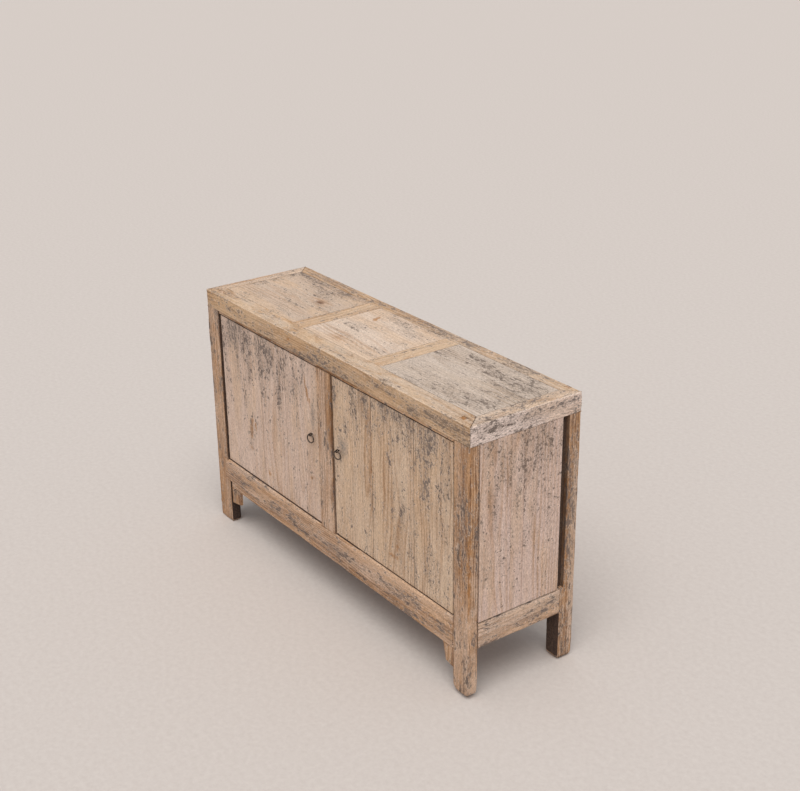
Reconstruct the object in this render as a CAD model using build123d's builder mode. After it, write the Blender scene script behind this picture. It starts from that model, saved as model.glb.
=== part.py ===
from build123d import *
import os

# Kang cabinet: a long, low, two-door cabinet in reclaimed elm, framed with mortise and tenon joints.
# Millimetres. X runs along the front to the right, Y from front to back and Z up. The origin lies on
# the floor, under the middle of the box that holds the cabinet and its ring pulls.
# "Front face" is the plane of the two front legs, and a "recess" is measured back from it.

# ---- Overall size
cabinet_length = 1400.0
cabinet_depth = 390.0
cabinet_height = 845.0

# ---- Legs
front_leg_width = 71.0
front_leg_depth = 35.0
rear_leg_width = 55.0
rear_leg_depth = 55.0
left_foot_extra = 7.0
leg_arris = 2.5
front_foot_rounding = 12.0
rear_foot_rounding = 7.0
rear_leg_rebate_width = 13.0

# ---- Top frame: four mitred members, two cross rails and three floating panels, all flush on top
top_thickness = 59.0
top_front_width = 57.0
top_rear_width = 44.0
top_end_width = 46.0
top_arris = 3.0
cross_rail_width = 62.0
cross_rail_thickness = 35.0
left_cross_rail_from_centre = 216.0
right_cross_rail_from_centre = 186.0
top_panel_thickness = 16.0

# ---- Rails round the bottom
rail_top_height = 243.0
rail_height = 82.0
front_rail_thickness = 32.0
side_rail_thickness = 32.0
rear_rail_thickness = 30.0
rail_nose = 9.0
rail_lap_length = 21.0
rail_lap_thickness = 10.0
rail_lap_flat = 1.0

# ---- Apron strip and spandrels under the front rail
apron_height = 25.0
apron_thickness = 9.0
apron_recess = 4.0
left_spandrel_reach = 62.0
left_spandrel_drop_at_leg = 60.0
left_spandrel_drop_inside = 48.0
right_spandrel_reach = 49.0
right_spandrel_toe = 13.0
right_spandrel_drop_at_leg = 63.0
right_spandrel_drop_inside = 55.0

# ---- Door opening: head strip, centre post and the stop behind it
head_strip_height = 10.0
head_strip_recess = 2.0
head_strip_depth = 32.0
post_width = 77.0
post_arris = 2.0
stop_overlap = 10.0
stop_thickness = 14.0
stop_clearance = 0.5

# ---- Doors
door_recess = 4.5
door_thickness = 22.0
door_hinge_gap = 6.0
door_closing_gap = 3.2
door_bottom_gap = 3.0
door_top_gap = 2.5
door_pivot_rounding = 8.0
door_closing_arris = 2.0
left_door_pivot_board_width = 241.0
left_door_middle_board_width = 153.0
right_door_pivot_board_width = 177.0
right_door_middle_board_width = 204.0
pivot_inset = 16.0
pivot_radius = 8.0
pivot_clearance = 0.08
pivot_depth_in_rail = 11.0
pivot_end_gap = 0.2
door_batten_from_edge = 75.0
door_batten_height = 34.0
door_batten_proud = 14.0
door_batten_hinge_inset = 60.0
door_batten_closing_inset = 25.0
dovetail_depth = 6.0
dovetail_flare = 3.0

# ---- Ring pulls: a ring, a split pin with its eye, and a washer on each door
ring_from_centre = 74.0
ring_height = 542.0
ring_radius = 13.5
ring_wire_radius = 2.0
eye_standoff = 9.0
eye_radius = 4.5
eye_wire_radius = 1.4
washer_radius = 7.0
washer_thickness = 1.5
pin_radius = 2.0
pin_tail_length = 11.0
pin_tail_width = 3.0
pin_tail_thickness = 1.6
pin_hole_clearance = 0.1

# ---- Side panels
side_panel_thickness = 20.0
side_panel_gap_at_rear_leg = 9.5
side_panel_gap_at_rail = 2.0
side_board_front_width = 109.0
side_board_middle_width = 45.0

# ---- Back
rear_stile_width = 60.0
rear_stile_thickness = 24.0
back_board_thickness = 12.0
back_board_inset = 6.0
back_boards_per_panel = 3

# ---- Floor and shelf
floor_drop = 8.0
floor_board_thickness = 14.0
floor_tongue = 6.0
floor_front_board_width = 106.0
floor_middle_board_width = 110.0
floor_bearer_width = 40.0
floor_bearer_height = 30.0
floor_bearer_from_centre = 330.0
shelf_height = 505.0
shelf_board_thickness = 16.0
shelf_front_gap = 62.0
shelf_rear_gap = 2.0
shelf_end_gap = 2.0
shelf_front_board_width = 150.0
shelf_cleat_width = 18.0
shelf_cleat_height = 26.0
shelf_bearer_width = 34.0

# ---- Joinery shared by all of the frame
frame_tongue = 7.0
frame_tongue_thickness = 7.0
groove_clearance = 0.5
side_panel_tongue_thickness = 6.0
panel_gap = 0.4
tenon_thickness = 10.0
rail_tenon_shoulder = 12.0
front_rail_tenon = 30.0
side_rail_tenon = 22.0
rear_rail_tenon = 24.0
post_tenon = 12.0
post_tenon_shoulder = 16.0
cross_rail_tenon = 20.0
small_tenon = 8.0
bearer_tenon = 10.0
leg_tenon_width = 20.0
leg_tenon_depth = 15.0
front_leg_tenon_from_front = 18.0
rear_leg_tenon_width = 16.0
rear_leg_tenon_depth = 12.0
rear_leg_tenon_from_back = 4.0
mitre_tenon_height = 18.0
mitre_tenon_width = 14.0
mitre_tenon_end_wood = 11.0
mitre_tenon_from_inner_edge = 8.0

# ---- Planes and levels worked out from the sizes above
ring_projection = eye_standoff + eye_radius + eye_wire_radius - door_recess
front_y = (ring_projection - cabinet_depth) / 2
back_y = front_y + cabinet_depth
left_x = -cabinet_length / 2
right_x = cabinet_length / 2
frame_under_z = cabinet_height - top_thickness
rail_top_z = rail_top_height
rail_bottom_z = rail_top_z - rail_height
strip_bottom_z = frame_under_z - head_strip_height
apron_bottom_z = rail_bottom_z - apron_height
front_leg_inner_x = left_x + front_leg_width
rear_leg_inner_x = left_x + rear_leg_width
rear_leg_front_y = back_y - rear_leg_depth
post_depth = door_recess + door_thickness + stop_clearance
door_front_y = front_y + door_recess
door_back_y = door_front_y + door_thickness
door_bottom_z = rail_top_z + door_bottom_gap
door_top_z = strip_bottom_z - door_top_gap
door_outer_x = front_leg_inner_x + door_hinge_gap
door_closing_x = -(post_width / 2 + door_closing_gap)
pivot_x = door_outer_x + pivot_inset
pivot_y = door_front_y + door_thickness / 2
eye_y = door_front_y - eye_standoff
back_outer_y = back_y - back_board_inset
back_inner_y = back_outer_y - back_board_thickness
floor_top_z = rail_top_z - floor_drop
floor_under_z = floor_top_z - floor_board_thickness
shelf_under_z = shelf_height - shelf_board_thickness

pieces = {}


def around(centre, size):
    """Return the low and high ends of a span of this size about its centre."""
    return (centre - size / 2, centre + size / 2)


def flipped(span):
    """Return the same span on the other side of the cabinet's middle."""
    return (-span[1], -span[0])


def block(x, y, z, mode=Mode.ADD):
    """Add or cut a rectangular block between its low and high X, Y and Z."""
    middle = ((x[0] + x[1]) / 2, (y[0] + y[1]) / 2, (z[0] + z[1]) / 2)
    with Locations(middle):
        Box(x[1] - x[0], y[1] - y[0], z[1] - z[0], mode=mode)


def cut(x, y, z):
    """Cut a rectangular block between its low and high X, Y and Z."""
    block(x, y, z, mode=Mode.SUBTRACT)


def keep(name, piece):
    """Put a finished piece on the list of pieces to write."""
    pieces[name] = piece


def mirrored(piece):
    """Return a piece that is the mirror image of this one about the cabinet's middle."""
    with BuildPart() as image:
        mirror(piece.part, about=Plane.YZ)
    return image


# ---- Joint sizes used by both pieces of a joint, for the left end of the cabinet
rail_tenon_z = (rail_bottom_z + rail_tenon_shoulder, rail_top_z - rail_tenon_shoulder)
front_rail_tenon_y = around(front_y + front_rail_thickness / 2, tenon_thickness)
front_rail_tenon_x = (front_leg_inner_x - front_rail_tenon, front_leg_inner_x)
side_rail_tenon_x = around(left_x + side_rail_thickness / 2, tenon_thickness)
side_rail_front_tenon_y = (front_y + front_leg_depth - side_rail_tenon, front_y + front_leg_depth)
side_rail_rear_tenon_y = (rear_leg_front_y, rear_leg_front_y + side_rail_tenon)
rear_rail_tenon_y = around(back_y - rear_rail_thickness / 2, tenon_thickness)
rear_rail_tenon_x = (rear_leg_inner_x - rear_rail_tenon, rear_leg_inner_x)
front_leg_tenon_x = (front_leg_inner_x - leg_tenon_width - leg_arris, front_leg_inner_x - leg_arris)
front_leg_tenon_y = (
    front_y + front_leg_tenon_from_front,
    front_y + front_leg_tenon_from_front + leg_tenon_depth,
)
rear_leg_tenon_x = (rear_leg_inner_x - rear_leg_tenon_width, rear_leg_inner_x)
rear_leg_tenon_y = (
    back_y - rear_leg_tenon_from_back - rear_leg_tenon_depth,
    back_y - rear_leg_tenon_from_back,
)
leg_tenon_z = (frame_under_z, cabinet_height)
post_tenon_x = around(0, post_width - 2 * post_tenon_shoulder)
post_tenon_y = around(front_y + post_depth / 2, tenon_thickness)
stile_tenon_x = around(0, rear_stile_width - 2 * post_tenon_shoulder)
stile_tenon_y = around(back_y - rear_stile_thickness / 2, tenon_thickness)
lap_x = (front_leg_inner_x - rail_lap_length, front_leg_inner_x)
lap_y = (front_y, front_y + rail_lap_thickness)

# The side panel's tongue lies against its inner face and enters the grooves round it.
side_tongue_x = (
    left_x + side_panel_thickness - side_panel_tongue_thickness,
    left_x + side_panel_thickness,
)
side_groove_y = (
    front_y + front_leg_depth - frame_tongue - groove_clearance,
    rear_leg_front_y + frame_tongue + groove_clearance,
)
side_groove_z = (
    rail_top_z - frame_tongue - groove_clearance,
    frame_under_z + frame_tongue + groove_clearance,
)

# The back boards' edges enter grooves in the rear legs, stile, rail and top member.
back_groove_y = (back_inner_y, back_outer_y)
back_groove_z = side_groove_z
stile_x = around(0, rear_stile_width)

# The top panels' tongues lie under their faces and enter the grooves of the members and cross rails.
top_tongue_z = (
    cabinet_height - top_panel_thickness,
    cabinet_height - top_panel_thickness + frame_tongue_thickness,
)
top_inner_x = (left_x + top_end_width, right_x - top_end_width)
top_inner_y = (front_y + top_front_width, back_y - top_rear_width)
cross_rail_x = {
    "left": around(-left_cross_rail_from_centre, cross_rail_width),
    "right": around(right_cross_rail_from_centre, cross_rail_width),
}


# ---- Legs
def front_leg(lap, foot_extra):
    """Build the left front leg, with or without the lapped rail shoulder and the wider foot."""
    with BuildPart() as leg:
        with BuildSketch(Plane.XY):
            with Locations((left_x, front_y)):
                Rectangle(front_leg_width, front_leg_depth, align=(Align.MIN, Align.MIN))
        extrude(amount=frame_under_z)
        if foot_extra > 0:
            foot_x = (front_leg_inner_x, front_leg_inner_x + foot_extra)
            block(foot_x, (front_y, front_y + front_leg_depth), (0, rail_bottom_z))
        foot_edges = leg.edges().filter_by(Axis.Y).group_by(Axis.Z)[0]
        fillet(foot_edges, radius=front_foot_rounding)
        front_edges = leg.faces().sort_by(Axis.Y)[0].edges()
        fillet(front_edges - front_edges.group_by(Axis.Z)[-1], radius=leg_arris)
        block(front_leg_tenon_x, front_leg_tenon_y, leg_tenon_z)
        cut(front_rail_tenon_x, front_rail_tenon_y, rail_tenon_z)
        cut(side_rail_tenon_x, side_rail_front_tenon_y, rail_tenon_z)
        cut(side_tongue_x, (side_groove_y[0], front_y + front_leg_depth), (rail_top_z, frame_under_z))
        if lap:
            cut(lap_x, lap_y, (rail_bottom_z, rail_top_z))
    return leg


keep("front_leg_left", front_leg(lap=True, foot_extra=left_foot_extra))
keep("front_leg_right", mirrored(front_leg(lap=False, foot_extra=0)))

with BuildPart() as rear_leg_left:
    with BuildSketch(Plane.XY):
        with Locations((left_x, back_y)):
            Rectangle(rear_leg_width, rear_leg_depth, align=(Align.MIN, Align.MAX))
    extrude(amount=frame_under_z)
    foot_edges = rear_leg_left.edges().filter_by(Axis.X).group_by(Axis.Z)[0]
    fillet(foot_edges, radius=rear_foot_rounding)
    outer_edges = rear_leg_left.faces().sort_by(Axis.X)[0].edges()
    fillet(outer_edges - outer_edges.group_by(Axis.Z)[-1], radius=leg_arris)
    block(rear_leg_tenon_x, rear_leg_tenon_y, leg_tenon_z)
    rebate_x = (left_x, side_tongue_x[0])
    rebate_y = (rear_leg_front_y, rear_leg_front_y + rear_leg_rebate_width)
    cut(rebate_x, rebate_y, (rail_top_z, frame_under_z))
    cut(side_rail_tenon_x, side_rail_rear_tenon_y, rail_tenon_z)
    cut(rear_rail_tenon_x, rear_rail_tenon_y, rail_tenon_z)
    cut(side_tongue_x, (rear_leg_front_y, side_groove_y[1]), (rail_top_z, frame_under_z))
    back_groove_x = (rear_leg_inner_x - frame_tongue - groove_clearance, rear_leg_inner_x)
    cut(back_groove_x, back_groove_y, (rail_top_z, frame_under_z))
keep("rear_leg_left", rear_leg_left)
keep("rear_leg_right", mirrored(rear_leg_left))

# ---- Top frame
front_mitre_tenon_y = (
    top_inner_y[0] - mitre_tenon_from_inner_edge - mitre_tenon_width,
    top_inner_y[0] - mitre_tenon_from_inner_edge,
)
rear_mitre_tenon_y = (
    top_inner_y[1] + mitre_tenon_from_inner_edge,
    top_inner_y[1] + mitre_tenon_from_inner_edge + mitre_tenon_width,
)
mitre_tenon_x = (left_x + mitre_tenon_end_wood, top_inner_x[0])
mitre_tenon_z = around(frame_under_z + top_thickness / 2 - mitre_tenon_height / 2, mitre_tenon_height)
cross_tenon_z = around(cabinet_height - cross_rail_thickness / 2, tenon_thickness)
front_groove_y = (top_inner_y[0] - frame_tongue - groove_clearance, top_inner_y[0])
rear_groove_y = (top_inner_y[1], top_inner_y[1] + frame_tongue + groove_clearance)
end_groove_x = (top_inner_x[0] - frame_tongue - groove_clearance, top_inner_x[0])

with BuildPart() as top_front_member:
    with BuildSketch(Plane.XY.offset(frame_under_z)):
        with BuildLine():
            Polyline(
                (left_x, front_y),
                (right_x, front_y),
                (top_inner_x[1], top_inner_y[0]),
                (top_inner_x[0], top_inner_y[0]),
                close=True,
            )
        make_face()
    extrude(amount=top_thickness)
    fillet(top_front_member.edges().filter_by(Axis.X).group_by(Axis.Y)[0], radius=top_arris)
    for turned in (False, True):
        tenon_x = flipped(mitre_tenon_x) if turned else mitre_tenon_x
        leg_x = flipped(front_leg_tenon_x) if turned else front_leg_tenon_x
        block(tenon_x, front_mitre_tenon_y, mitre_tenon_z)
        cut(leg_x, front_leg_tenon_y, leg_tenon_z)
    cut(top_inner_x, front_groove_y, top_tongue_z)
    for rail_x in cross_rail_x.values():
        cut(rail_x, (top_inner_y[0] - cross_rail_tenon, top_inner_y[0]), cross_tenon_z)
    cut(post_tenon_x, post_tenon_y, (frame_under_z, frame_under_z + small_tenon))
keep("top_front_member", top_front_member)

with BuildPart() as top_rear_member:
    with BuildSketch(Plane.XY.offset(frame_under_z)):
        with BuildLine():
            Polyline(
                (left_x, back_y),
                (right_x, back_y),
                (top_inner_x[1], top_inner_y[1]),
                (top_inner_x[0], top_inner_y[1]),
                close=True,
            )
        make_face()
    extrude(amount=top_thickness)
    fillet(top_rear_member.edges().filter_by(Axis.X).group_by(Axis.Y)[-1], radius=top_arris)
    for turned in (False, True):
        tenon_x = flipped(mitre_tenon_x) if turned else mitre_tenon_x
        leg_x = flipped(rear_leg_tenon_x) if turned else rear_leg_tenon_x
        block(tenon_x, rear_mitre_tenon_y, mitre_tenon_z)
        cut(leg_x, rear_leg_tenon_y, leg_tenon_z)
    cut(top_inner_x, rear_groove_y, top_tongue_z)
    for rail_x in cross_rail_x.values():
        cut(rail_x, (top_inner_y[1], top_inner_y[1] + cross_rail_tenon), cross_tenon_z)
    boards_x = (rear_leg_inner_x, -rear_leg_inner_x)
    cut(boards_x, back_groove_y, (frame_under_z, back_groove_z[1]))
    cut(stile_tenon_x, stile_tenon_y, (frame_under_z, frame_under_z + post_tenon))
keep("top_rear_member", top_rear_member)

with BuildPart() as top_end_member_left:
    with BuildSketch(Plane.XY.offset(frame_under_z)):
        with BuildLine():
            Polyline(
                (left_x, front_y),
                (left_x, back_y),
                (top_inner_x[0], top_inner_y[1]),
                (top_inner_x[0], top_inner_y[0]),
                close=True,
            )
        make_face()
    extrude(amount=top_thickness)
    fillet(top_end_member_left.edges().filter_by(Axis.Y).group_by(Axis.X)[0], radius=top_arris)
    cut(mitre_tenon_x, front_mitre_tenon_y, mitre_tenon_z)
    cut(mitre_tenon_x, rear_mitre_tenon_y, mitre_tenon_z)
    cut(end_groove_x, top_inner_y, top_tongue_z)
    panel_y = (front_y + front_leg_depth, rear_leg_front_y)
    cut(side_tongue_x, panel_y, (frame_under_z, side_groove_z[1]))
keep("top_end_member_left", top_end_member_left)
keep("top_end_member_right", mirrored(top_end_member_left))


def cross_rail(rail_x):
    """Build a cross rail of the top, with a groove along each side for the panels' tongues."""
    with BuildPart() as rail:
        block(rail_x, top_inner_y, (cabinet_height - cross_rail_thickness, cabinet_height))
        tenons_y = (top_inner_y[0] - cross_rail_tenon, top_inner_y[1] + cross_rail_tenon)
        block(rail_x, tenons_y, cross_tenon_z)
        groove = frame_tongue + groove_clearance
        cut((rail_x[0], rail_x[0] + groove), top_inner_y, top_tongue_z)
        cut((rail_x[1] - groove, rail_x[1]), top_inner_y, top_tongue_z)
    return rail


def top_panel(panel_x):
    """Build a floating top panel, flush above, with a tongue all round below its face."""
    with BuildPart() as panel:
        face_x = (panel_x[0] + panel_gap, panel_x[1] - panel_gap)
        face_y = (top_inner_y[0] + panel_gap, top_inner_y[1] - panel_gap)
        block(face_x, face_y, (top_tongue_z[0], cabinet_height))
        tongue_x = (panel_x[0] - frame_tongue, panel_x[1] + frame_tongue)
        tongue_y = (top_inner_y[0] - frame_tongue, top_inner_y[1] + frame_tongue)
        block(tongue_x, face_y, top_tongue_z)
        block(face_x, tongue_y, top_tongue_z)
    return panel


for side, rail_x in cross_rail_x.items():
    keep("top_cross_rail_" + side, cross_rail(rail_x))
keep("top_panel_left", top_panel((top_inner_x[0], cross_rail_x["left"][0])))
keep("top_panel_middle", top_panel((cross_rail_x["left"][1], cross_rail_x["right"][0])))
keep("top_panel_right", top_panel((cross_rail_x["right"][1], top_inner_x[1])))

# ---- Rails
opening_x = (front_leg_inner_x, -front_leg_inner_x)
floor_groove_z = (floor_under_z, floor_top_z)
bearer_z = (floor_under_z - floor_bearer_height, floor_under_z)

with BuildPart() as front_lower_rail:
    rail_y = (front_y, front_y + front_rail_thickness)
    block(opening_x, rail_y, (rail_bottom_z, rail_top_z))
    block(lap_x, lap_y, (rail_bottom_z, rail_top_z))
    nose_edge = front_lower_rail.edges().filter_by(Axis.X).group_by(Axis.Y)[0].sort_by(Axis.Z)[-1]
    fillet(nose_edge, radius=min(rail_nose, rail_lap_thickness - rail_lap_flat))
    block(front_rail_tenon_x, front_rail_tenon_y, rail_tenon_z)
    block(flipped(front_rail_tenon_x), front_rail_tenon_y, rail_tenon_z)
    cut(opening_x, (rail_y[1] - floor_tongue, rail_y[1]), floor_groove_z)
    cut(post_tenon_x, post_tenon_y, (rail_top_z - post_tenon, rail_top_z))
    for side in (-1, 1):
        bearer_x = around(side * floor_bearer_from_centre, floor_bearer_width)
        cut(bearer_x, (rail_y[1] - bearer_tenon, rail_y[1]), bearer_z)
        with BuildSketch(Plane.XY.offset(rail_top_z)):
            with Locations((side * pivot_x, pivot_y)):
                Circle(pivot_radius + pivot_clearance)
        extrude(amount=-(pivot_depth_in_rail + pivot_end_gap), mode=Mode.SUBTRACT)
keep("front_lower_rail", front_lower_rail)

with BuildPart() as side_lower_rail_left:
    rail_x = (left_x, left_x + side_rail_thickness)
    rail_y = (front_y + front_leg_depth, rear_leg_front_y)
    block(rail_x, rail_y, (rail_bottom_z, rail_top_z))
    nose_edge = side_lower_rail_left.edges().filter_by(Axis.Y).group_by(Axis.X)[0].sort_by(Axis.Z)[-1]
    fillet(nose_edge, radius=rail_nose)
    block(side_rail_tenon_x, (side_rail_front_tenon_y[0], side_rail_rear_tenon_y[1]), rail_tenon_z)
    cut(side_tongue_x, rail_y, (side_groove_z[0], rail_top_z))
    cut((rail_x[1] - floor_tongue, rail_x[1]), rail_y, floor_groove_z)
keep("side_lower_rail_left", side_lower_rail_left)
keep("side_lower_rail_right", mirrored(side_lower_rail_left))

with BuildPart() as rear_lower_rail:
    rail_x = (rear_leg_inner_x, -rear_leg_inner_x)
    rail_y = (back_y - rear_rail_thickness, back_y)
    block(rail_x, rail_y, (rail_bottom_z, rail_top_z))
    block(rear_rail_tenon_x, rear_rail_tenon_y, rail_tenon_z)
    block(flipped(rear_rail_tenon_x), rear_rail_tenon_y, rail_tenon_z)
    cut(rail_x, (rail_y[0], rail_y[0] + floor_tongue), floor_groove_z)
    cut(rail_x, back_groove_y, (back_groove_z[0], rail_top_z))
    cut(stile_tenon_x, stile_tenon_y, (rail_top_z - post_tenon, rail_top_z))
    for side in (-1, 1):
        bearer_x = around(side * floor_bearer_from_centre, floor_bearer_width)
        cut(bearer_x, (rail_y[0], rail_y[0] + bearer_tenon), bearer_z)
keep("rear_lower_rail", rear_lower_rail)

# ---- Apron strip and spandrels
apron_y = (front_y + apron_recess, front_y + apron_recess + apron_thickness)
left_foot_inner_x = front_leg_inner_x + left_foot_extra

with BuildPart() as apron_strip:
    block((left_foot_inner_x, -front_leg_inner_x), apron_y, (apron_bottom_z, rail_bottom_z))
keep("apron_strip", apron_strip)

with BuildPart() as spandrel_left:
    with BuildSketch(Plane.XZ.offset(-apron_y[0])):
        with BuildLine():
            Polyline(
                (left_foot_inner_x, apron_bottom_z),
                (left_foot_inner_x + left_spandrel_reach, apron_bottom_z),
                (left_foot_inner_x + left_spandrel_reach, apron_bottom_z - left_spandrel_drop_inside),
                (left_foot_inner_x, apron_bottom_z - left_spandrel_drop_at_leg),
                close=True,
            )
        make_face()
    extrude(amount=-apron_thickness)
keep("spandrel_left", spandrel_left)

with BuildPart() as spandrel_right:
    leg_x = -front_leg_inner_x
    reach_x = leg_x - right_spandrel_reach
    with BuildSketch(Plane.XZ.offset(-apron_y[0])):
        with BuildLine():
            Polyline(
                (leg_x, apron_bottom_z),
                (reach_x, apron_bottom_z),
                (reach_x + right_spandrel_toe, apron_bottom_z - right_spandrel_drop_inside),
                (leg_x, apron_bottom_z - right_spandrel_drop_at_leg),
                close=True,
            )
        make_face()
    extrude(amount=-apron_thickness)
keep("spandrel_right", spandrel_right)

# ---- Door opening
with BuildPart() as door_head_strip:
    strip_y = (front_y + head_strip_recess, front_y + head_strip_recess + head_strip_depth)
    block(opening_x, strip_y, (strip_bottom_z, frame_under_z))
    cut(post_tenon_x, post_tenon_y, (strip_bottom_z, frame_under_z))
    for side in (-1, 1):
        with BuildSketch(Plane.XY.offset(strip_bottom_z)):
            with Locations((side * pivot_x, pivot_y)):
                Circle(pivot_radius + pivot_clearance)
        extrude(amount=head_strip_height, mode=Mode.SUBTRACT)
keep("door_head_strip", door_head_strip)

with BuildPart() as centre_post:
    post_x = around(0, post_width)
    block(post_x, (front_y, front_y + post_depth), (rail_top_z, strip_bottom_z))
    fillet(centre_post.edges().filter_by(Axis.Z).group_by(Axis.Y)[0], radius=post_arris)
    block(post_tenon_x, post_tenon_y, (rail_top_z - post_tenon, rail_top_z))
    block(post_tenon_x, post_tenon_y, (strip_bottom_z, frame_under_z + small_tenon))
keep("centre_post", centre_post)

with BuildPart() as door_stop:
    stop_x = around(0, post_width + 2 * stop_overlap)
    stop_y = (front_y + post_depth, front_y + post_depth + stop_thickness)
    block(stop_x, stop_y, (rail_top_z, strip_bottom_z))
keep("door_stop", door_stop)


# ---- Doors
def door_pieces(side, pivot_board_width, middle_board_width):
    """Build a door's boards, battens and ring pull at the left, and return them turned to their side."""
    seam_x = (
        door_outer_x,
        door_outer_x + pivot_board_width,
        door_outer_x + pivot_board_width + middle_board_width,
        door_closing_x,
    )
    door_y = (door_front_y, door_back_y)
    door_z = (door_bottom_z, door_top_z)
    batten_x = (door_outer_x + door_batten_hinge_inset, door_closing_x - door_batten_closing_inset)
    batten_middle_z = {
        "upper": door_top_z - door_batten_from_edge,
        "lower": door_bottom_z + door_batten_from_edge,
    }

    def dovetail(middle_z):
        """Draw a batten's dovetail, wider inside the board than at its back face."""
        half_neck = door_batten_height / 2 - dovetail_flare
        half_root = door_batten_height / 2
        with BuildSketch(Plane.YZ.offset(batten_x[0])) as tail:
            with BuildLine():
                Polyline(
                    (door_back_y, middle_z - half_neck),
                    (door_back_y, middle_z + half_neck),
                    (door_back_y - dovetail_depth, middle_z + half_root),
                    (door_back_y - dovetail_depth, middle_z - half_root),
                    close=True,
                )
            make_face()
        return tail.sketch

    def cut_batten_grooves():
        """Cut the grooves that both battens slide into."""
        for middle_z in batten_middle_z.values():
            extrude(to_extrude=dovetail(middle_z), amount=batten_x[1] - batten_x[0], mode=Mode.SUBTRACT)

    built = {}
    with BuildPart() as pivot_board:
        block((seam_x[0], seam_x[1]), door_y, door_z)
        fillet(pivot_board.edges().filter_by(Axis.Z).group_by(Axis.X)[0], radius=door_pivot_rounding)
        with BuildSketch(Plane.XY.offset(door_bottom_z - door_bottom_gap - pivot_depth_in_rail)):
            with Locations((pivot_x, pivot_y)):
                Circle(pivot_radius)
        extrude(amount=pivot_depth_in_rail + door_bottom_gap)
        with BuildSketch(Plane.XY.offset(door_top_z)):
            with Locations((pivot_x, pivot_y)):
                Circle(pivot_radius)
        extrude(amount=door_top_gap + head_strip_height - pivot_end_gap)
        cut_batten_grooves()
    built["pivot_board"] = pivot_board

    with BuildPart() as middle_board:
        block((seam_x[1], seam_x[2]), door_y, door_z)
        cut_batten_grooves()
    built["middle_board"] = middle_board

    pin_span_y = (door_front_y, door_back_y)
    with BuildPart() as closing_board:
        block((seam_x[2], seam_x[3]), door_y, door_z)
        closing_edges = closing_board.edges().filter_by(Axis.Z).group_by(Axis.X)[-1]
        fillet(closing_edges, radius=door_closing_arris)
        cut_batten_grooves()
        with BuildSketch(Plane.XZ.offset(-pin_span_y[0])):
            with Locations((-ring_from_centre, ring_height)):
                Circle(pin_radius + pin_hole_clearance)
        extrude(amount=pin_span_y[0] - pin_span_y[1], mode=Mode.SUBTRACT)
    built["closing_board"] = closing_board

    for place, middle_z in batten_middle_z.items():
        with BuildPart() as batten:
            extrude(to_extrude=dovetail(middle_z), amount=batten_x[1] - batten_x[0])
            proud_y = (door_back_y, door_back_y + door_batten_proud)
            block(batten_x, proud_y, around(middle_z, door_batten_height))
        built[place + "_batten"] = batten

    with BuildPart() as washer:
        with BuildSketch(Plane.XZ.offset(-door_front_y)):
            with Locations((-ring_from_centre, ring_height)):
                Circle(washer_radius)
                Circle(pin_radius + pin_hole_clearance, mode=Mode.SUBTRACT)
        extrude(amount=washer_thickness)
        chamfer(washer.faces().sort_by(Axis.Y)[0].outer_wire().edges(), length=washer_thickness / 2)
    built["pull_washer"] = washer

    with BuildPart() as split_pin:
        with BuildSketch(Plane.XY.offset(ring_height)):
            with Locations((-ring_from_centre, eye_y + eye_radius)):
                Circle(eye_wire_radius)
        revolve(axis=Axis((-ring_from_centre, eye_y, ring_height), (1, 0, 0)), revolution_arc=360)
        shank_from_y = eye_y + eye_radius
        with BuildSketch(Plane.XZ.offset(-shank_from_y)):
            with Locations((-ring_from_centre, ring_height)):
                Circle(pin_radius)
        extrude(amount=shank_from_y - door_back_y - pin_tail_thickness)
        tail_y = (door_back_y, door_back_y + pin_tail_thickness)
        tail_z = around(ring_height, 2 * pin_tail_length)
        block(around(-ring_from_centre, pin_tail_width), tail_y, tail_z)
    built["pull_pin"] = split_pin

    with BuildPart() as pull_ring:
        with BuildSketch(Plane.YZ.offset(-ring_from_centre)):
            with Locations((eye_y, ring_height)):
                Circle(ring_wire_radius)
        ring_middle = (-ring_from_centre, eye_y, ring_height - ring_radius)
        revolve(axis=Axis(ring_middle, (0, 1, 0)), revolution_arc=360)
    built["pull_ring"] = pull_ring

    for piece_name, piece in built.items():
        placed = piece if side == "left" else mirrored(piece)
        keep(side + "_door_" + piece_name, placed)


door_pieces("left", left_door_pivot_board_width, left_door_middle_board_width)
door_pieces("right", right_door_pivot_board_width, right_door_middle_board_width)

# ---- Side panels: three boards each, side by side, flush with the legs outside
panel_front_y = front_y + front_leg_depth
face_rear_y = rear_leg_front_y - side_panel_gap_at_rear_leg
first_seam_y = panel_front_y + side_board_front_width
second_seam_y = first_seam_y + side_board_middle_width
side_face_z = (rail_top_z + side_panel_gap_at_rail, frame_under_z)
side_tongue_z = (side_groove_z[0] + groove_clearance, side_groove_z[1] - groove_clearance)


def side_board(face_y, body_y, tongue_y):
    """Build a left side board: its face, its body behind, and the tongues that hold it."""
    with BuildPart() as board:
        block((left_x, side_tongue_x[1]), face_y, side_face_z)
        block(side_tongue_x, body_y, side_tongue_z)
        block(side_tongue_x, tongue_y, side_face_z)
    return board


front_board_y = (panel_front_y, first_seam_y)
middle_board_y = (first_seam_y, second_seam_y)
rear_board_y = (second_seam_y, face_rear_y)
side_boards = {
    "front": side_board(front_board_y, front_board_y, (panel_front_y - frame_tongue, first_seam_y)),
    "middle": side_board(middle_board_y, middle_board_y, middle_board_y),
    "rear": side_board(
        rear_board_y,
        (second_seam_y, rear_leg_front_y),
        (second_seam_y, rear_leg_front_y + frame_tongue),
    ),
}
for place, board in side_boards.items():
    keep("side_board_" + place + "_left", board)
    keep("side_board_" + place + "_right", mirrored(board))

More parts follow.
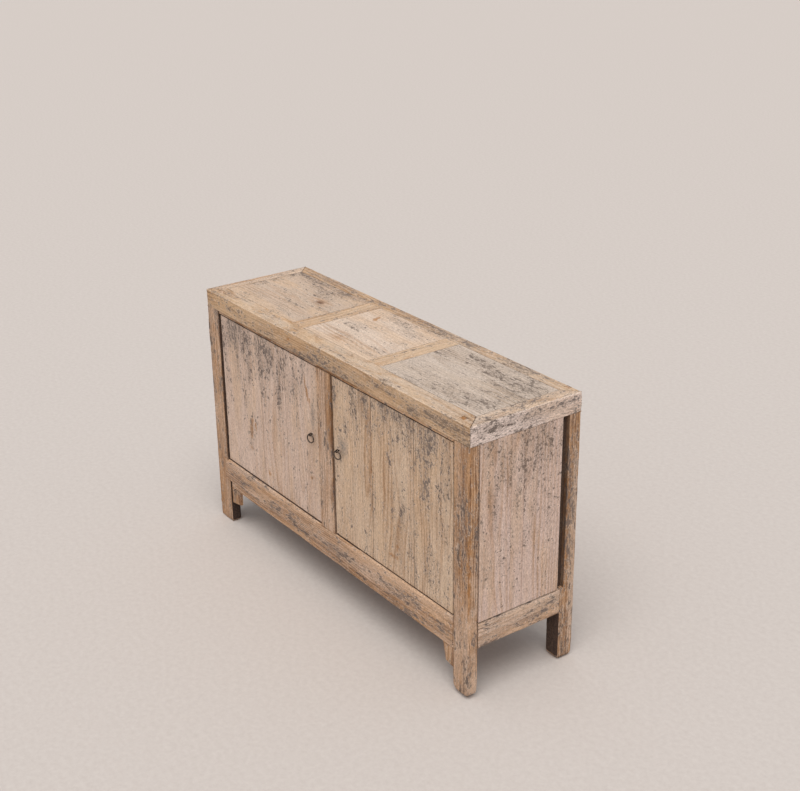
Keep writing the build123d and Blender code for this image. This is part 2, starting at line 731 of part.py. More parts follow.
# ---- Back: a centre stile between two panels of upright boards
with BuildPart() as rear_stile:
    stile_y = (back_y - rear_stile_thickness, back_y)
    block(stile_x, stile_y, (rail_top_z, frame_under_z))
    block(stile_tenon_x, stile_tenon_y, (rail_top_z - post_tenon, frame_under_z + post_tenon))
    stile_groove = frame_tongue + groove_clearance
    cut((stile_x[0], stile_x[0] + stile_groove), back_groove_y, (rail_top_z, frame_under_z))
    cut((stile_x[1] - stile_groove, stile_x[1]), back_groove_y, (rail_top_z, frame_under_z))
keep("rear_stile", rear_stile)

back_board_z = (back_groove_z[0] + groove_clearance, back_groove_z[1] - groove_clearance)
back_panel_x = (rear_leg_inner_x, stile_x[0])
back_board_width = (back_panel_x[1] - back_panel_x[0]) / back_boards_per_panel

with BuildPart() as back_boards_left:
    for number in range(back_boards_per_panel):
        board_left_x = back_panel_x[0] + number * back_board_width
        board_x = (board_left_x + panel_gap / 2, board_left_x + back_board_width - panel_gap / 2)
        edge_x = (
            back_panel_x[0] - frame_tongue if number == 0 else board_x[0],
            back_panel_x[1] + frame_tongue if number == back_boards_per_panel - 1 else board_x[1],
        )
        block(board_x, back_groove_y, back_board_z)
        block(edge_x, back_groove_y, (rail_top_z, frame_under_z))
keep("back_boards_left", back_boards_left)
keep("back_boards_right", mirrored(back_boards_left))

# ---- Floor: three long boards in the rails' grooves, on two bearers
floor_x = (
    left_x + side_rail_thickness - floor_tongue + groove_clearance,
    right_x - side_rail_thickness + floor_tongue - groove_clearance,
)
floor_front_y = front_y + front_rail_thickness - floor_tongue + groove_clearance
floor_rear_y = back_y - rear_rail_thickness + floor_tongue - groove_clearance
floor_first_seam_y = floor_front_y + floor_front_board_width
floor_second_seam_y = floor_first_seam_y + floor_middle_board_width
floor_z = (floor_under_z, floor_top_z)

with BuildPart() as floor_board_front:
    block(floor_x, (floor_front_y, floor_first_seam_y), floor_z)
    notch_x = (left_x, front_leg_inner_x + groove_clearance)
    notch_y = (front_y, front_y + front_leg_depth + groove_clearance)
    cut(notch_x, notch_y, floor_z)
    cut(flipped(notch_x), notch_y, floor_z)
keep("floor_board_front", floor_board_front)

with BuildPart() as floor_board_middle:
    block(floor_x, (floor_first_seam_y, floor_second_seam_y), floor_z)
keep("floor_board_middle", floor_board_middle)

with BuildPart() as floor_board_rear:
    block(floor_x, (floor_second_seam_y, floor_rear_y), floor_z)
    notch_x = (left_x, rear_leg_inner_x + groove_clearance)
    notch_y = (rear_leg_front_y - groove_clearance, back_y)
    cut(notch_x, notch_y, floor_z)
    cut(flipped(notch_x), notch_y, floor_z)
keep("floor_board_rear", floor_board_rear)

with BuildPart() as floor_bearer_left:
    bearer_x = around(-floor_bearer_from_centre, floor_bearer_width)
    bearer_y = (
        front_y + front_rail_thickness - bearer_tenon,
        back_y - rear_rail_thickness + bearer_tenon,
    )
    block(bearer_x, bearer_y, bearer_z)
keep("floor_bearer_left", floor_bearer_left)
keep("floor_bearer_right", mirrored(floor_bearer_left))

# ---- Shelf: two long boards on a cleat at each end and a bearer in the middle
shelf_z = (shelf_under_z, shelf_height)
shelf_support_z = (shelf_under_z - shelf_cleat_height, shelf_under_z)
shelf_y = (front_y + shelf_front_gap, back_inner_y - shelf_rear_gap)
shelf_x = (side_tongue_x[1] + shelf_end_gap, -side_tongue_x[1] - shelf_end_gap)
shelf_seam_y = shelf_y[0] + shelf_front_board_width

with BuildPart() as shelf_board_front:
    block(shelf_x, (shelf_y[0], shelf_seam_y), shelf_z)
keep("shelf_board_front", shelf_board_front)

with BuildPart() as shelf_board_rear:
    block(shelf_x, (shelf_seam_y, shelf_y[1]), shelf_z)
    notch_x = (left_x, rear_leg_inner_x + shelf_end_gap)
    notch_y = (rear_leg_front_y - shelf_end_gap, back_y)
    cut(notch_x, notch_y, shelf_z)
    cut(flipped(notch_x), notch_y, shelf_z)
    stile_notch_y = (back_y - rear_stile_thickness - shelf_rear_gap, back_y)
    cut(around(0, rear_stile_width + 2 * shelf_rear_gap), stile_notch_y, shelf_z)
keep("shelf_board_rear", shelf_board_rear)

with BuildPart() as shelf_cleat_left:
    cleat_x = (side_tongue_x[1], side_tongue_x[1] + shelf_cleat_width)
    block(cleat_x, (shelf_y[0], rear_leg_front_y), shelf_support_z)
keep("shelf_cleat_left", shelf_cleat_left)
keep("shelf_cleat_right", mirrored(shelf_cleat_left))

with BuildPart() as shelf_bearer:
    bearer_y = (front_y + post_depth + stop_thickness, back_y - rear_stile_thickness)
    block(around(0, shelf_bearer_width), bearer_y, shelf_support_z)
keep("shelf_bearer", shelf_bearer)

# ---- Write every piece
os.makedirs("parts", exist_ok=True)
for name, piece in pieces.items():
    piece.part.label = name
    export_step(piece.part, "parts/" + name + ".step")
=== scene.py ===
import math
from functools import partial

import bmesh
import bpy
import numpy as np
from mathutils import Matrix, Vector


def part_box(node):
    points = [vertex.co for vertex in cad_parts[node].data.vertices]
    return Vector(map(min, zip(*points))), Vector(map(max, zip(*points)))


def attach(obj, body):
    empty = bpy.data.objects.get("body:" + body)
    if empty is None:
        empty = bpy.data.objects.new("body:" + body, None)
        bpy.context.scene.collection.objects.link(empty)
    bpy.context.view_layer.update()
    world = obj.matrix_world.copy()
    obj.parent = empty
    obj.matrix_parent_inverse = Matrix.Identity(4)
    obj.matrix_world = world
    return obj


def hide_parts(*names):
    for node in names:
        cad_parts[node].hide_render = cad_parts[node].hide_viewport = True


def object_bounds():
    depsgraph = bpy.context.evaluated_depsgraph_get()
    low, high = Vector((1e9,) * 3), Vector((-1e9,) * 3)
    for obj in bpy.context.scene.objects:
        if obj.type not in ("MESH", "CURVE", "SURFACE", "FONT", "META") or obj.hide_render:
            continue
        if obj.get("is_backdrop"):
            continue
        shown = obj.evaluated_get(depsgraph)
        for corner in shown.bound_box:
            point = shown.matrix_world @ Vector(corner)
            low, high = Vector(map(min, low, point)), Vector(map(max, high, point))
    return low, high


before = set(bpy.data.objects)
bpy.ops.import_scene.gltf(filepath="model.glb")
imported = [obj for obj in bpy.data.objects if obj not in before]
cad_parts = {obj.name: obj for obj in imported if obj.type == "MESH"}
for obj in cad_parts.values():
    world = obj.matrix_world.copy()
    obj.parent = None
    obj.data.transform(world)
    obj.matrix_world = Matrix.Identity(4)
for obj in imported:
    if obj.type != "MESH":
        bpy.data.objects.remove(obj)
cad_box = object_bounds()

# Kang cabinet in reclaimed elm. Each board that shows is modelled again with worn faces and arrises, and the
# pieces inside keep their CAD shapes. Sizes in this script are millimetres, turned to metres by MM.
MM = 0.001
SIDES = (("left", -1), ("right", 1))

# ---- Planes of the cabinet
LEFT, RIGHT = -700.0, 700.0
FRONT, BACK = -189.8, 200.2
TOP = 845.0
FRAME_UNDER = 786.0
RAIL_TOP, RAIL_UNDER = 243.0, 161.0
PANEL_FRONT, PANEL_BACK = -132.8, 156.2
DOOR_FRONT, DOOR_BACK = -185.3, -163.3
DOOR_UNDER, DOOR_TOP = 246.0, 773.5

# ---- Legs, rails and side boards
LEG_INNER = 629.0
LEG_DEPTH = 35.0
LEFT_FOOT_INNER = -622.0
REAR_LEG_INNER = 645.0
REAR_LEG_FRONT = 145.2
REBATE_BACK = 158.2
LAP_END = -650.0
LAP_DEPTH = 10.0
RAIL_DEPTH = 32.0
REAR_RAIL_DEPTH = 30.0
SIDE_FACE_DEPTH = 14.0
SIDE_FACE = RIGHT - SIDE_FACE_DEPTH
SIDE_BOARD_INNER = 680.0
SIDE_TONGUE_BACK = 150.0

# ---- Radii of arrises at joints: a planed seam, a shoulder against a frame, and an arris that lies hidden
SEAM_RADIUS = 0.3
SHOULDER_RADIUS = 0.4
JOINT_RADIUS = 0.6
HIDDEN_RADIUS = 1.0

# ---- Fineness of the meshes
GRID = 5.0
MOST_CUTS = 90
TOUCH = 0.01
NO_LEVELS = ((), (), ())


# ---- Modelling
def solid_box(node):
    """Return the two corners of a node's solid, in millimetres."""
    return [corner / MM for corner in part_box(node)]


def activate(piece):
    """Select one piece alone and make it the active one."""
    bpy.ops.object.select_all(action="DESELECT")
    piece.select_set(True)
    bpy.context.view_layer.objects.active = piece


def name_new(name):
    """Name the piece just added, and put its place, turn and size into its mesh."""
    piece = bpy.context.object
    piece.name = name
    bpy.ops.object.transform_apply(location=True, rotation=True, scale=True)
    return piece


def start_block(name, low, high):
    """Add a block between two corners."""
    bpy.ops.object.select_all(action="DESELECT")
    middle = [(a + b) / 2 * MM for a, b in zip(low, high)]
    bpy.ops.mesh.primitive_cube_add(size=1, location=middle)
    bpy.context.object.scale = [(b - a) * MM for a, b in zip(low, high)]
    block = name_new(name)
    block.data.name = name
    return block


def join_to(piece, parts):
    """Join parts to a piece, as one mesh."""
    activate(piece)
    for part in parts:
        part.select_set(True)
    bpy.ops.object.join()


def edit(piece, kind, wanted, operator, **settings):
    """Run an operator of edit mode on the vertices, edges or faces whose points pass a test."""
    bpy.ops.object.mode_set(mode="EDIT")
    bpy.ops.mesh.select_mode(type=kind)
    bpy.ops.mesh.select_all(action="DESELECT")
    shape = bmesh.from_edit_mesh(piece.data)
    groups = {"VERT": shape.verts, "EDGE": shape.edges, "FACE": shape.faces}
    for item in groups[kind]:
        points = [item.co] if kind == "VERT" else [corner.co for corner in item.verts]
        if wanted([point / MM for point in points]):
            item.select_set(True)
    shape.select_flush_mode()
    bmesh.update_edit_mesh(piece.data)
    operator(**settings)
    bpy.ops.object.mode_set(mode="OBJECT")


def on_plane(axis, place):
    """Return a test that is true where every point lies on a plane across an axis."""
    return lambda points: all(abs(point[axis] - place) < TOUCH for point in points)


def split_across(piece, axis, place):
    """Cut a piece's faces along a plane across an axis, and keep both sides."""
    middle, normal = [0, 0, 0], [0, 0, 0]
    middle[axis], normal[axis] = place * MM, 1
    edit(piece, "FACE", lambda points: True, bpy.ops.mesh.bisect, plane_co=middle, plane_no=normal)


def extend(piece, face, split, length, sign=1):
    """Split a piece at a plane, and extend a face by a length where it lies on one side of that plane."""
    axis, place = split
    split_across(piece, axis, place)
    at_face = on_plane(*face)
    move = [0, 0, 0]
    move[face[0]] = length * MM

    def wanted(points):
        return at_face(points) and all(sign * (point[axis] - place) < 1 for point in points)

    edit(piece, "FACE", wanted, bpy.ops.mesh.extrude_region_move, TRANSFORM_OT_translate={"value": move})


def mitre(piece, corner, normal):
    """Cut a piece off along a slanted plane and close the cut."""
    edit(
        piece, "FACE", lambda points: True, bpy.ops.mesh.bisect, plane_co=[value * MM for value in corner],
        plane_no=normal, use_fill=True, clear_outer=True,
    )


def notch(piece, low, high):
    """Cut a block's shape out of a piece."""
    cutter = start_block("cutter", low, high)
    activate(piece)
    cut = piece.modifiers.new("notch", "BOOLEAN")
    cut.operation = "DIFFERENCE"
    cut.object = cutter
    bpy.ops.object.modifier_apply(modifier=cut.name)
    bpy.data.meshes.remove(cutter.data)


# A rebate slopes out to the arris over this height at each end.
LEDGE = 1.0


def rebate(piece, arris, inner, bottom, top):
    """Sink a rebate into an upright arris between two heights: the arris moves in to the inner corner."""
    for axis in (0, 1):
        split_across(piece, axis, inner[axis])
    for place in (bottom, bottom + LEDGE, top - LEDGE, top):
        if place < FRAME_UNDER - LEDGE:
            split_across(piece, 2, place)
    lowest = bottom + LEDGE / 2
    highest = top - LEDGE / 2 if top < FRAME_UNDER else top + LEDGE / 2

    def on_arris(points):
        off = math.hypot(points[0].x - arris[0], points[0].y - arris[1])
        return off < TOUCH and lowest < points[0].z < highest

    move = [(inner[0] - arris[0]) * MM, (inner[1] - arris[1]) * MM, 0]
    edit(piece, "VERT", on_arris, bpy.ops.transform.translate, value=move)
    edit(piece, "VERT", lambda points: True, bpy.ops.mesh.remove_doubles, threshold=TOUCH * MM)


LEAST_ANGLE = math.radians(20)


def round_arrises(piece, radius_of, segments=4):
    """Round each edge between two slanting faces by its own radius in millimetres."""
    shape = bmesh.new()
    shape.from_mesh(piece.data)
    radii = []
    for edge in shape.edges:
        sharp = edge.calc_face_angle(0) > LEAST_ANGLE
        radii.append(radius_of(*(corner.co / MM for corner in edge.verts)) if sharp else 0)
    shape.free()
    widest = max(radii)
    weights = piece.data.attributes.new("bevel_weight_edge", "FLOAT", "EDGE")
    weights.data.foreach_set("value", [radius / widest for radius in radii])
    rounding = piece.modifiers.new("arrises", "BEVEL")
    rounding.limit_method = "WEIGHT"
    rounding.width = widest * MM
    rounding.segments = segments
    bpy.ops.object.modifier_apply(modifier=rounding.name)


# An edge that lies farther in than this is an inner corner of a rebate or a lap.
OUTER_BAND = 14.0


def radius_by_face(low, high, usual, joints):
    """Return a rule that rounds arrises, and keeps edges at joint faces and inner corners crisp."""
    def radius_of(start, end):
        run = end - start
        along = max(range(3), key=lambda axis: abs(run[axis]))
        radii = [usual]
        for axis in range(3):
            if axis != along:
                middle = (start[axis] + end[axis]) / 2
                below, above = abs(middle - low[axis]), abs(middle - high[axis])
                face = ("-" if below < above else "+") + "xyz"[axis]
                outer = min(below, above) < OUTER_BAND
                radii.append(joints.get(face, usual) if outer else JOINT_RADIUS)
        return min(radii)
    return radius_of


# An edge is cut where it runs along the axis to this share of its length, and spans this share of a stretch.
STRAIGHT = 0.96
SPANNING = 0.6


def cut_rings(piece, axis, spacing, levels=()):
    """Cut evenly spaced rings across the edges that run along an axis, between each two levels."""
    places = [vertex.co[axis] / MM for vertex in piece.data.vertices]
    stops = sorted([min(places), max(places), *levels])
    for bottom, top in zip(stops, stops[1:]):
        length = top - bottom
        parts = round(length / spacing)
        rounds = 1 if parts <= MOST_CUTS else 2
        each = round(parts ** (1 / rounds)) if parts > 1 else 1
        for _ in range(rounds if each > 1 else 0):
            def is_long(points, shortest=SPANNING * length):
                run = abs(points[1][axis] - points[0][axis])
                middle = (points[1][axis] + points[0][axis]) / 2
                straight = run > STRAIGHT * (points[1] - points[0]).length
                return straight and run > shortest and bottom < middle < top
            edit(piece, "EDGE", is_long, bpy.ops.mesh.subdivide, number_cuts=each - 1)
            length /= each


# Wear is drawn out along the grain, because its texture is laid on an empty that is stretched along one axis.
GRAIN_STRETCH = 4.0
grain_guides = {}
for axis in range(3):
    guide = bpy.data.objects.new("grain_guide_" + "xyz"[axis], None)
    bpy.context.scene.collection.objects.link(guide)
    guide.scale[axis] = GRAIN_STRETCH
    grain_guides[axis] = guide
bpy.context.view_layer.update()


def cloud_texture(name, size, depth):
    """Make a soft cloud texture whose blots are about this size in millimetres."""
    texture = bpy.data.textures.new(name, "CLOUDS")
    texture.noise_scale = size * MM
    texture.noise_depth = depth
    return texture


face_wear = cloud_texture("planed and worn face", 34, 2)
arris_wear = cloud_texture("chipped arris", 14, 2)
hammered = cloud_texture("hammered iron", 3, 1)


def press_in(piece, texture, depth, guide=None, group=""):
    """Sink a piece's surface by up to this depth in millimetres, where a texture is dark."""
    activate(piece)
    wear = piece.modifiers.new("wear", "DISPLACE")
    wear.texture = texture
    wear.texture_coords = "LOCAL" if guide is None else "OBJECT"
    if guide is not None:
        wear.texture_coords_object = guide
    wear.mid_level = 1.0
    wear.strength = depth * MM
    wear.vertex_group = group
    bpy.ops.object.modifier_apply(modifier=wear.name)


ARRIS_REACH = 11.0
# Faces on a listed plane, within this distance, get old dirt and painted shade.
DIRT_AND_SHADE_REACH = 0.3
WEAR_LEVELS = 10
FAR = 999.0


def mark_surface(piece, low, high, joints, dirt):
    """Mark how near each point is to a worn arris, and which faces hold old dirt and painted shade.

    Each darkened face is given by its axis, its place, a strength and, for a part of it, two heights.
    """
    mesh = piece.data
    places = np.empty(len(mesh.vertices) * 3, np.float32)
    mesh.vertices.foreach_get("co", places)
    places = places.reshape(-1, 3) / MM
    gaps = []
    for axis, letter in enumerate("xyz"):
        below = np.abs(places[:, axis] - low[axis]) if "-" + letter not in joints else FAR
        above = np.abs(high[axis] - places[:, axis]) if "+" + letter not in joints else FAR
        gaps.append(np.minimum(below, above) + np.zeros(len(places)))
    near = np.clip(1 - np.sort(gaps, axis=0)[1] / ARRIS_REACH, 0, 1)
    darkened = np.zeros(len(places), np.float32)
    for axis, place, strength, *span in dirt:
        bottom, top = span or (-FAR, FAR)
        here = (np.abs(places[:, axis] - place) < DIRT_AND_SHADE_REACH) & (places[:, 2] > bottom) & (places[:, 2] < top)
        darkened[here] = np.maximum(darkened[here], strength)
    for name, values in (("arris", near), ("dirt", darkened)):
        mark = mesh.attributes.new(name, "FLOAT", "POINT")
        mark.data.foreach_set("value", values.astype(np.float32))
    group = piece.vertex_groups.new(name="arris wear")
    for level in range(1, WEAR_LEVELS + 1):
        inside = np.nonzero(np.round(near * WEAR_LEVELS) == level)[0].tolist()
        if inside:
            group.add(inside, level / WEAR_LEVELS, "REPLACE")


def lay_in_log(piece, grain, heart):
    """Record where a board lay in its log: the offset that puts the log's heart on the pattern's axis.

    Along the grain each board comes from a stretch of its own, which follows from its name.
    """
    shift = [-value * MM for value in heart]
    shift[grain] = len(piece.name) * 0.731 + sum(map(ord, piece.name)) * 0.0173
    count = len(piece.data.vertices)
    record = piece.data.attributes.new("log", "FLOAT_VECTOR", "POINT")
    record.data.foreach_set("vector", np.tile(np.array(shift, np.float32), count))


SMOOTH_BELOW = math.radians(38)


def finish_piece(piece, node, body, slot, material):
    """Smooth a finished piece, give it its material and hang it on its body in place of its node."""
    activate(piece)
    bpy.ops.object.shade_smooth_by_angle(angle=SMOOTH_BELOW)
    piece.data.materials.clear()
    piece.data.materials.append(material)
    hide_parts(node)
    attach(piece, body)


def board(name, node, low, high, grain, heart, material, usual=2.5, joints=None, dirt=(), body="carcass",
          slot="frame_elm", radius_of=None, levels=NO_LEVELS, shape=None, after=None, segments=4,
          face_depth=0.9, arris_depth=1.8):
    """Model one board: a block, shaped, rounded, cut into a grid and worn, in place of its node.

    The heart is where the log's heart lay, from the board's middle. Joints give the radius of the arrises at
    the faces that meet other boards, and levels the places that the grid keeps to along each axis.
    """
    joints = joints or {}
    piece = start_block(name, low, high)
    if shape is not None:
        shape(piece)
    round_arrises(piece, radius_of or radius_by_face(low, high, usual, joints), segments)
    for axis in range(3):
        cut_rings(piece, axis, GRID, levels[axis])
    mark_surface(piece, low, high, joints, dirt)
    if after is not None:
        after(piece)
    press_in(piece, face_wear, face_depth, grain_guides[grain])
    press_in(piece, arris_wear, arris_depth, grain_guides[grain], "arris wear")
    lay_in_log(piece, grain, [(a + b) / 2 + offset for a, b, offset in zip(low, high, heart)])
    finish_piece(piece, node, body, slot, material)


# ---- Materials
def linear(code):
    """Turn an sRGB hex colour into linear red, green, blue and alpha."""
    parts = [int(code[place:place + 2], 16) / 255 for place in (1, 3, 5)]
    return [part / 12.92 if part <= 0.04045 else ((part + 0.055) / 1.055) ** 2.4 for part in parts] + [1.0]


def add_node(tree, kind, inputs, out=0, stops=None, **settings):
    """Add a shader node with its settings, set or link its inputs by number or name, and return an output."""
    made = tree.nodes.new("ShaderNode" + kind)
    for name, value in settings.items():
        setattr(made, name, value)
    if stops is not None:
        elements = made.color_ramp.elements
        while len(elements) < len(stops):
            elements.new(0.5)
        for element, (place, colour) in zip(elements, stops):
            element.position = place
            element.color = linear(colour) if isinstance(colour, str) else [colour, colour, colour, 1]
    for name, value in inputs.items() if isinstance(inputs, dict) else enumerate(inputs):
        if isinstance(value, bpy.types.NodeSocket):
            tree.links.new(value, made.inputs[name])
        else:
            made.inputs[name].default_value = linear(value) if isinstance(value, str) else value
    return made.outputs[out] if len(made.outputs) else None


# Settings that many nodes share: a product kept between 0 and 1, and a smooth rise from 0 to 1 while a value
# goes from a low place to a high one.
PRODUCT = {"operation": "MULTIPLY", "use_clamp": True}
RISE = {"interpolation_type": "SMOOTHSTEP"}


def new_material(name):
    """Start an empty node material, and return it with its own way to add nodes."""
    material = bpy.data.materials.new(name)
    material.use_nodes = True
    material.node_tree.nodes.clear()
    return material, partial(add_node, material.node_tree)


def weighted_sum(add, start, *parts):
    """Add up values, each times its weight, from a starting value."""
    for value, weight in parts:
        start = add("Math", [value, weight, start], operation="MULTIPLY_ADD")
    return start


def lay_over(add, under, over, share, strength):
    """Lay one colour over another by a share times a strength, kept between 0 and 1."""
    covered = add("Math", [share, strength], **PRODUCT)
    return add("Mix", {0: covered, 6: under, 7: over}, 2, data_type="RGBA")


def stretched_noise(add, place, repeats, detail, roughness, out="Fac"):
    """Add noise with this many blots per metre along, across and into the wood."""
    scaled = add("VectorMath", [place, repeats], operation="MULTIPLY")
    return add("TexNoise", {"Vector": scaled, "Scale": 1.0, "Detail": detail, "Roughness": roughness}, out)


def blot(add, spot, mark, lean_axis):
    """Add one soft blot of a mark: its middle and reach in millimetres, its weight, and its lean if any."""
    turn = [0, 0, 0]
    turn[lean_axis] = math.radians(sum(mark[7:]))
    middle, reach = ([value * MM for value in part] for part in (mark[:3], mark[3:6]))
    box = {"Vector": spot, "Location": middle, "Rotation": turn, "Scale": reach}
    placed = add("Mapping", box, vector_type="TEXTURE")
    return add("TexGradient", {"Vector": placed}, "Fac", gradient_type="SPHERICAL")


def add_marks(add, spot, marks, start, lean_axis):
    """Add the blots of one kind of mark, each with its weight, to a starting value."""
    return weighted_sum(add, start, *((blot(add, spot, mark, lean_axis), mark[6]) for mark in marks))


def on_face(axis, place, reach, **kinds):
    """Place marks given as seen on a flat face: their middle, their reach, a weight, and a lean if any."""
    placed = {}
    for kind, marks in kinds.items():
        placed[kind] = []
        for first, second, wide, high, weight, *lean in marks:
            middle, reaches = [first, second], [wide, high]
            middle.insert(axis, place)
            reaches.insert(axis, reach)
            placed[kind].append((*middle, *reaches, weight, *lean))
    return placed


# Each axis that the grain can follow, turned to lie along the pattern's X axis.
TURNS = ((0, 0, 0), (0, 0, -math.pi / 2), (0, math.pi / 2, 0))
# A ring texture of scale 1 repeats after this many millimetres.
RING_REPEAT = 314.16
# Above this density the flecks of paint would run together.
MOST_FLECKS = 1.15
# The wash on the upper faces of the top begins between these two heights.
UPPER_FROM, UPPER_FULL = (TOP - 3.0) * MM, (TOP - 1.5) * MM
WARM_WOOD = "#a8733f"
PAINT_STAIN = "#826d5e"
PAINT_RIM = "#ecddd0"
GREY_STAIN = "#6b6a6c"
KNOT_HEART = "#6d4a30"
DIRT_AND_SHADE_COLOUR = "#33211a"
RUST = "#5b3a28"


def reclaimed_elm(name, grain, wood, lime, lime_share=0.5, fleck=0.1, warm=0.0, marks=None, knots=(),
                  lean_axis=1, ring=7.5, fleck_along=58.0, lines=0.3, upper=None, edge=None, dark="#483c38",
                  grey="#625855", grit_share=0.8):
    """Reclaimed elm with its growth rings, a worn limewash, warm bare streaks and remnants of dark paint."""
    marks = marks or {}
    material, add = new_material(name)
    place = add("TexCoord", {}, "Object")
    log = add("Attribute", {}, "Vector", attribute_name="log")
    arris = add("Attribute", {}, "Fac", attribute_name="arris")
    dirt = add("Attribute", {}, "Fac", attribute_name="dirt")

    # The grain bends round each knot, because space is drawn together towards its middle.
    bent = place
    knot_heart = 0.0
    for knot in knots:
        near = blot(add, place, knot, lean_axis)
        pull = add("Math", [add("Math", [near, near], **PRODUCT), 0.9], **PRODUCT)
        away = add("VectorMath", [place, [value * MM for value in knot[:3]]], operation="SUBTRACT")
        drawn = add("VectorMath", {0: away, "Scale": pull}, operation="SCALE")
        bent = add("VectorMath", [bent, drawn], operation="SUBTRACT")
        knot_heart = weighted_sum(add, knot_heart, (add("MapRange", [near, 0.6, 0.9], **RISE), knot[6]))

    in_log = add("VectorMath", [bent, log], operation="ADD")
    along = add("Mapping", {"Vector": in_log, "Rotation": TURNS[grain]})

    # The tree grew crooked: the rings wander by up to about 20 mm over half a metre.
    drift = stretched_noise(add, along, (1.7, 7.0, 7.0), 2.0, 0.45, "Color")
    wander = add("VectorMath", [drift, (0.0, 0.055, 0.055), along], operation="MULTIPLY_ADD")
    rings = add(
        "TexWave",
        {"Vector": wander, "Scale": RING_REPEAT / ring, "Distortion": 1.2, "Detail": 2.0,
         "Detail Scale": 0.06, "Detail Roughness": 0.55},
        "Fac", wave_type="RINGS", rings_direction="X", wave_profile="SAW",
    )

    # Fibres are about 4 mm wide and 125 mm long, pores 1 mm by 14 mm, broad patches 80 mm by 400 mm, bands
    # 20 mm by 550 mm, crumbs of wash 5 mm and grit 3 mm by 8 mm.
    fibres = stretched_noise(add, wander, (8.0, 240.0, 240.0), 4.0, 0.65)
    pores = stretched_noise(add, wander, (70.0, 900.0, 900.0), 2.0, 0.5)
    patches = stretched_noise(add, along, (2.6, 13.0, 13.0), 3.0, 0.55, "Color")
    broad = [add("SeparateColor", [patches], part) for part in range(3)]
    bands = stretched_noise(add, wander, (1.8, 48.0, 48.0), 3.0, 0.6)
    crumbs = stretched_noise(add, place, (190.0, 190.0, 190.0), 3.0, 0.7)
    grit = stretched_noise(add, wander, (130.0, 380.0, 380.0), 2.0, 0.6)

    # Bare wood: pale early wood that darkens into each late wood ring.
    late = add("ValToRGB", [rings], stops=[(0.0, 0.75), (0.12, 0.15), (0.5, 0.2), (0.9, 0.95)])
    late = add("Math", [late, weighted_sum(add, -0.8, (broad[0], 3.0))], **PRODUCT)
    value = weighted_sum(add, -0.58, (bands, 1.3), (fibres, 1.0), (late, -0.4))
    bare = add("ValToRGB", [value], stops=[(0.2, wood[0]), (0.5, wood[1]), (0.8, wood[2])])

    # Each mark has a ragged outline.
    rag = stretched_noise(add, place, (38.0, 38.0, 38.0), 3.0, 0.6, "Color")
    ragged = add("VectorMath", [rag, (0.03, 0.03, 0.03), place], operation="MULTIPLY_ADD")
    ragged = add("VectorMath", [ragged, (0.015, 0.015, 0.015)], operation="SUBTRACT")

    # Warm bare streaks, where the wash is rubbed off.
    warm_mark = add_marks(add, ragged, marks.get("warm", ()), warm, lean_axis)
    streaks = weighted_sum(add, 0.3, (add("MapRange", [bands, 0.4, 0.62], **RISE), 0.8))
    warm_share = add("Math", [warm_mark, streaks], **PRODUCT)
    colour = lay_over(add, bare, WARM_WOOD, warm_share, 0.85)

    # Limewash: a thin pale film, thicker in broad patches, thin on late wood and arrises.
    film = add_marks(add, ragged, marks.get("pale", ()), lime_share - 1.25, lean_axis)
    film = weighted_sum(add, film, (crumbs, 0.4), (fibres, 0.6), (broad[1], 1.3))
    film = weighted_sum(add, film, (warm_share, -0.7), (arris, -0.15), (late, -0.3))
    film = add("MapRange", [film, -0.3, 0.65], **RISE)
    wash = lime
    if upper is not None:
        height = add("SeparateXYZ", {"Vector": place}, "Z")
        on_top = add("MapRange", [height, UPPER_FROM, UPPER_FULL], **RISE)
        wash = add("Mix", {0: on_top, 6: wash, 7: upper}, 2, data_type="RGBA")
    wash = lay_over(add, wash, wood[2], add("MapRange", [broad[2], 0.45, 0.62], **RISE), 0.4)
    colour = lay_over(add, colour, wash, film, 0.9)
    colour = lay_over(add, colour, wood[1], late, lines)

    # A worn arris is rubbed to its own tone; where that tone is pale, it is also a painted highlight.
    if edge is not None:
        rubbed_and_lit = add("MapRange", [weighted_sum(add, arris, (crumbs, 0.6)), 0.9, 1.2], **RISE)
        colour = lay_over(add, colour, edge, rubbed_and_lit, 0.75)

    # Remnants of dark paint: flecks with pale rims in clusters 35 mm by 140 mm, with a thin stain between
    # them. Their noise repeats about every 11 mm and, for the small ones, every 5 mm across the grain.
    cluster = stretched_noise(add, along, (7.0, 28.0, 28.0), 3.0, 0.6)
    coarse = stretched_noise(add, wander, (fleck_along, 90.0, 90.0), 4.0, 0.66)
    fine = stretched_noise(add, wander, (2.6 * fleck_along, 210.0, 210.0), 3.0, 0.65)
    density = add_marks(add, ragged, marks.get("fleck", ()), fleck, lean_axis)
    density = weighted_sum(add, -1.6, (density, 1.0), (cluster, 3.2))
    density = add("Math", [density, MOST_FLECKS], operation="MINIMUM")
    stain = add("MapRange", [weighted_sum(add, density, (crumbs, 1.0)), 0.6, 2.2], **RISE)
    colour = lay_over(add, colour, PAINT_STAIN, stain, 0.45)
    coarse = weighted_sum(add, coarse, (density, 0.12))
    large = add("MapRange", [coarse, 0.63, 0.69], **RISE)
    small = add("MapRange", [weighted_sum(add, fine, (density, 0.12)), 0.65, 0.71], **RISE)
    speck = add("Math", [large, add("Math", [small, 0.8], **PRODUCT)], operation="MAXIMUM")
    rim = add("MapRange", [coarse, 0.56, 0.63], **RISE)
    colour = lay_over(add, colour, PAINT_RIM, rim, weighted_sum(add, -0.42, (crumbs, 1.2)))
    tone = add("MapRange", [broad[2], 0.4, 0.6], **RISE)
    paint = add("Mix", {0: tone, 6: dark, 7: grey}, 2, data_type="RGBA")
    colour = lay_over(add, colour, paint, speck, weighted_sum(add, 0.0, (crumbs, 1.5)))

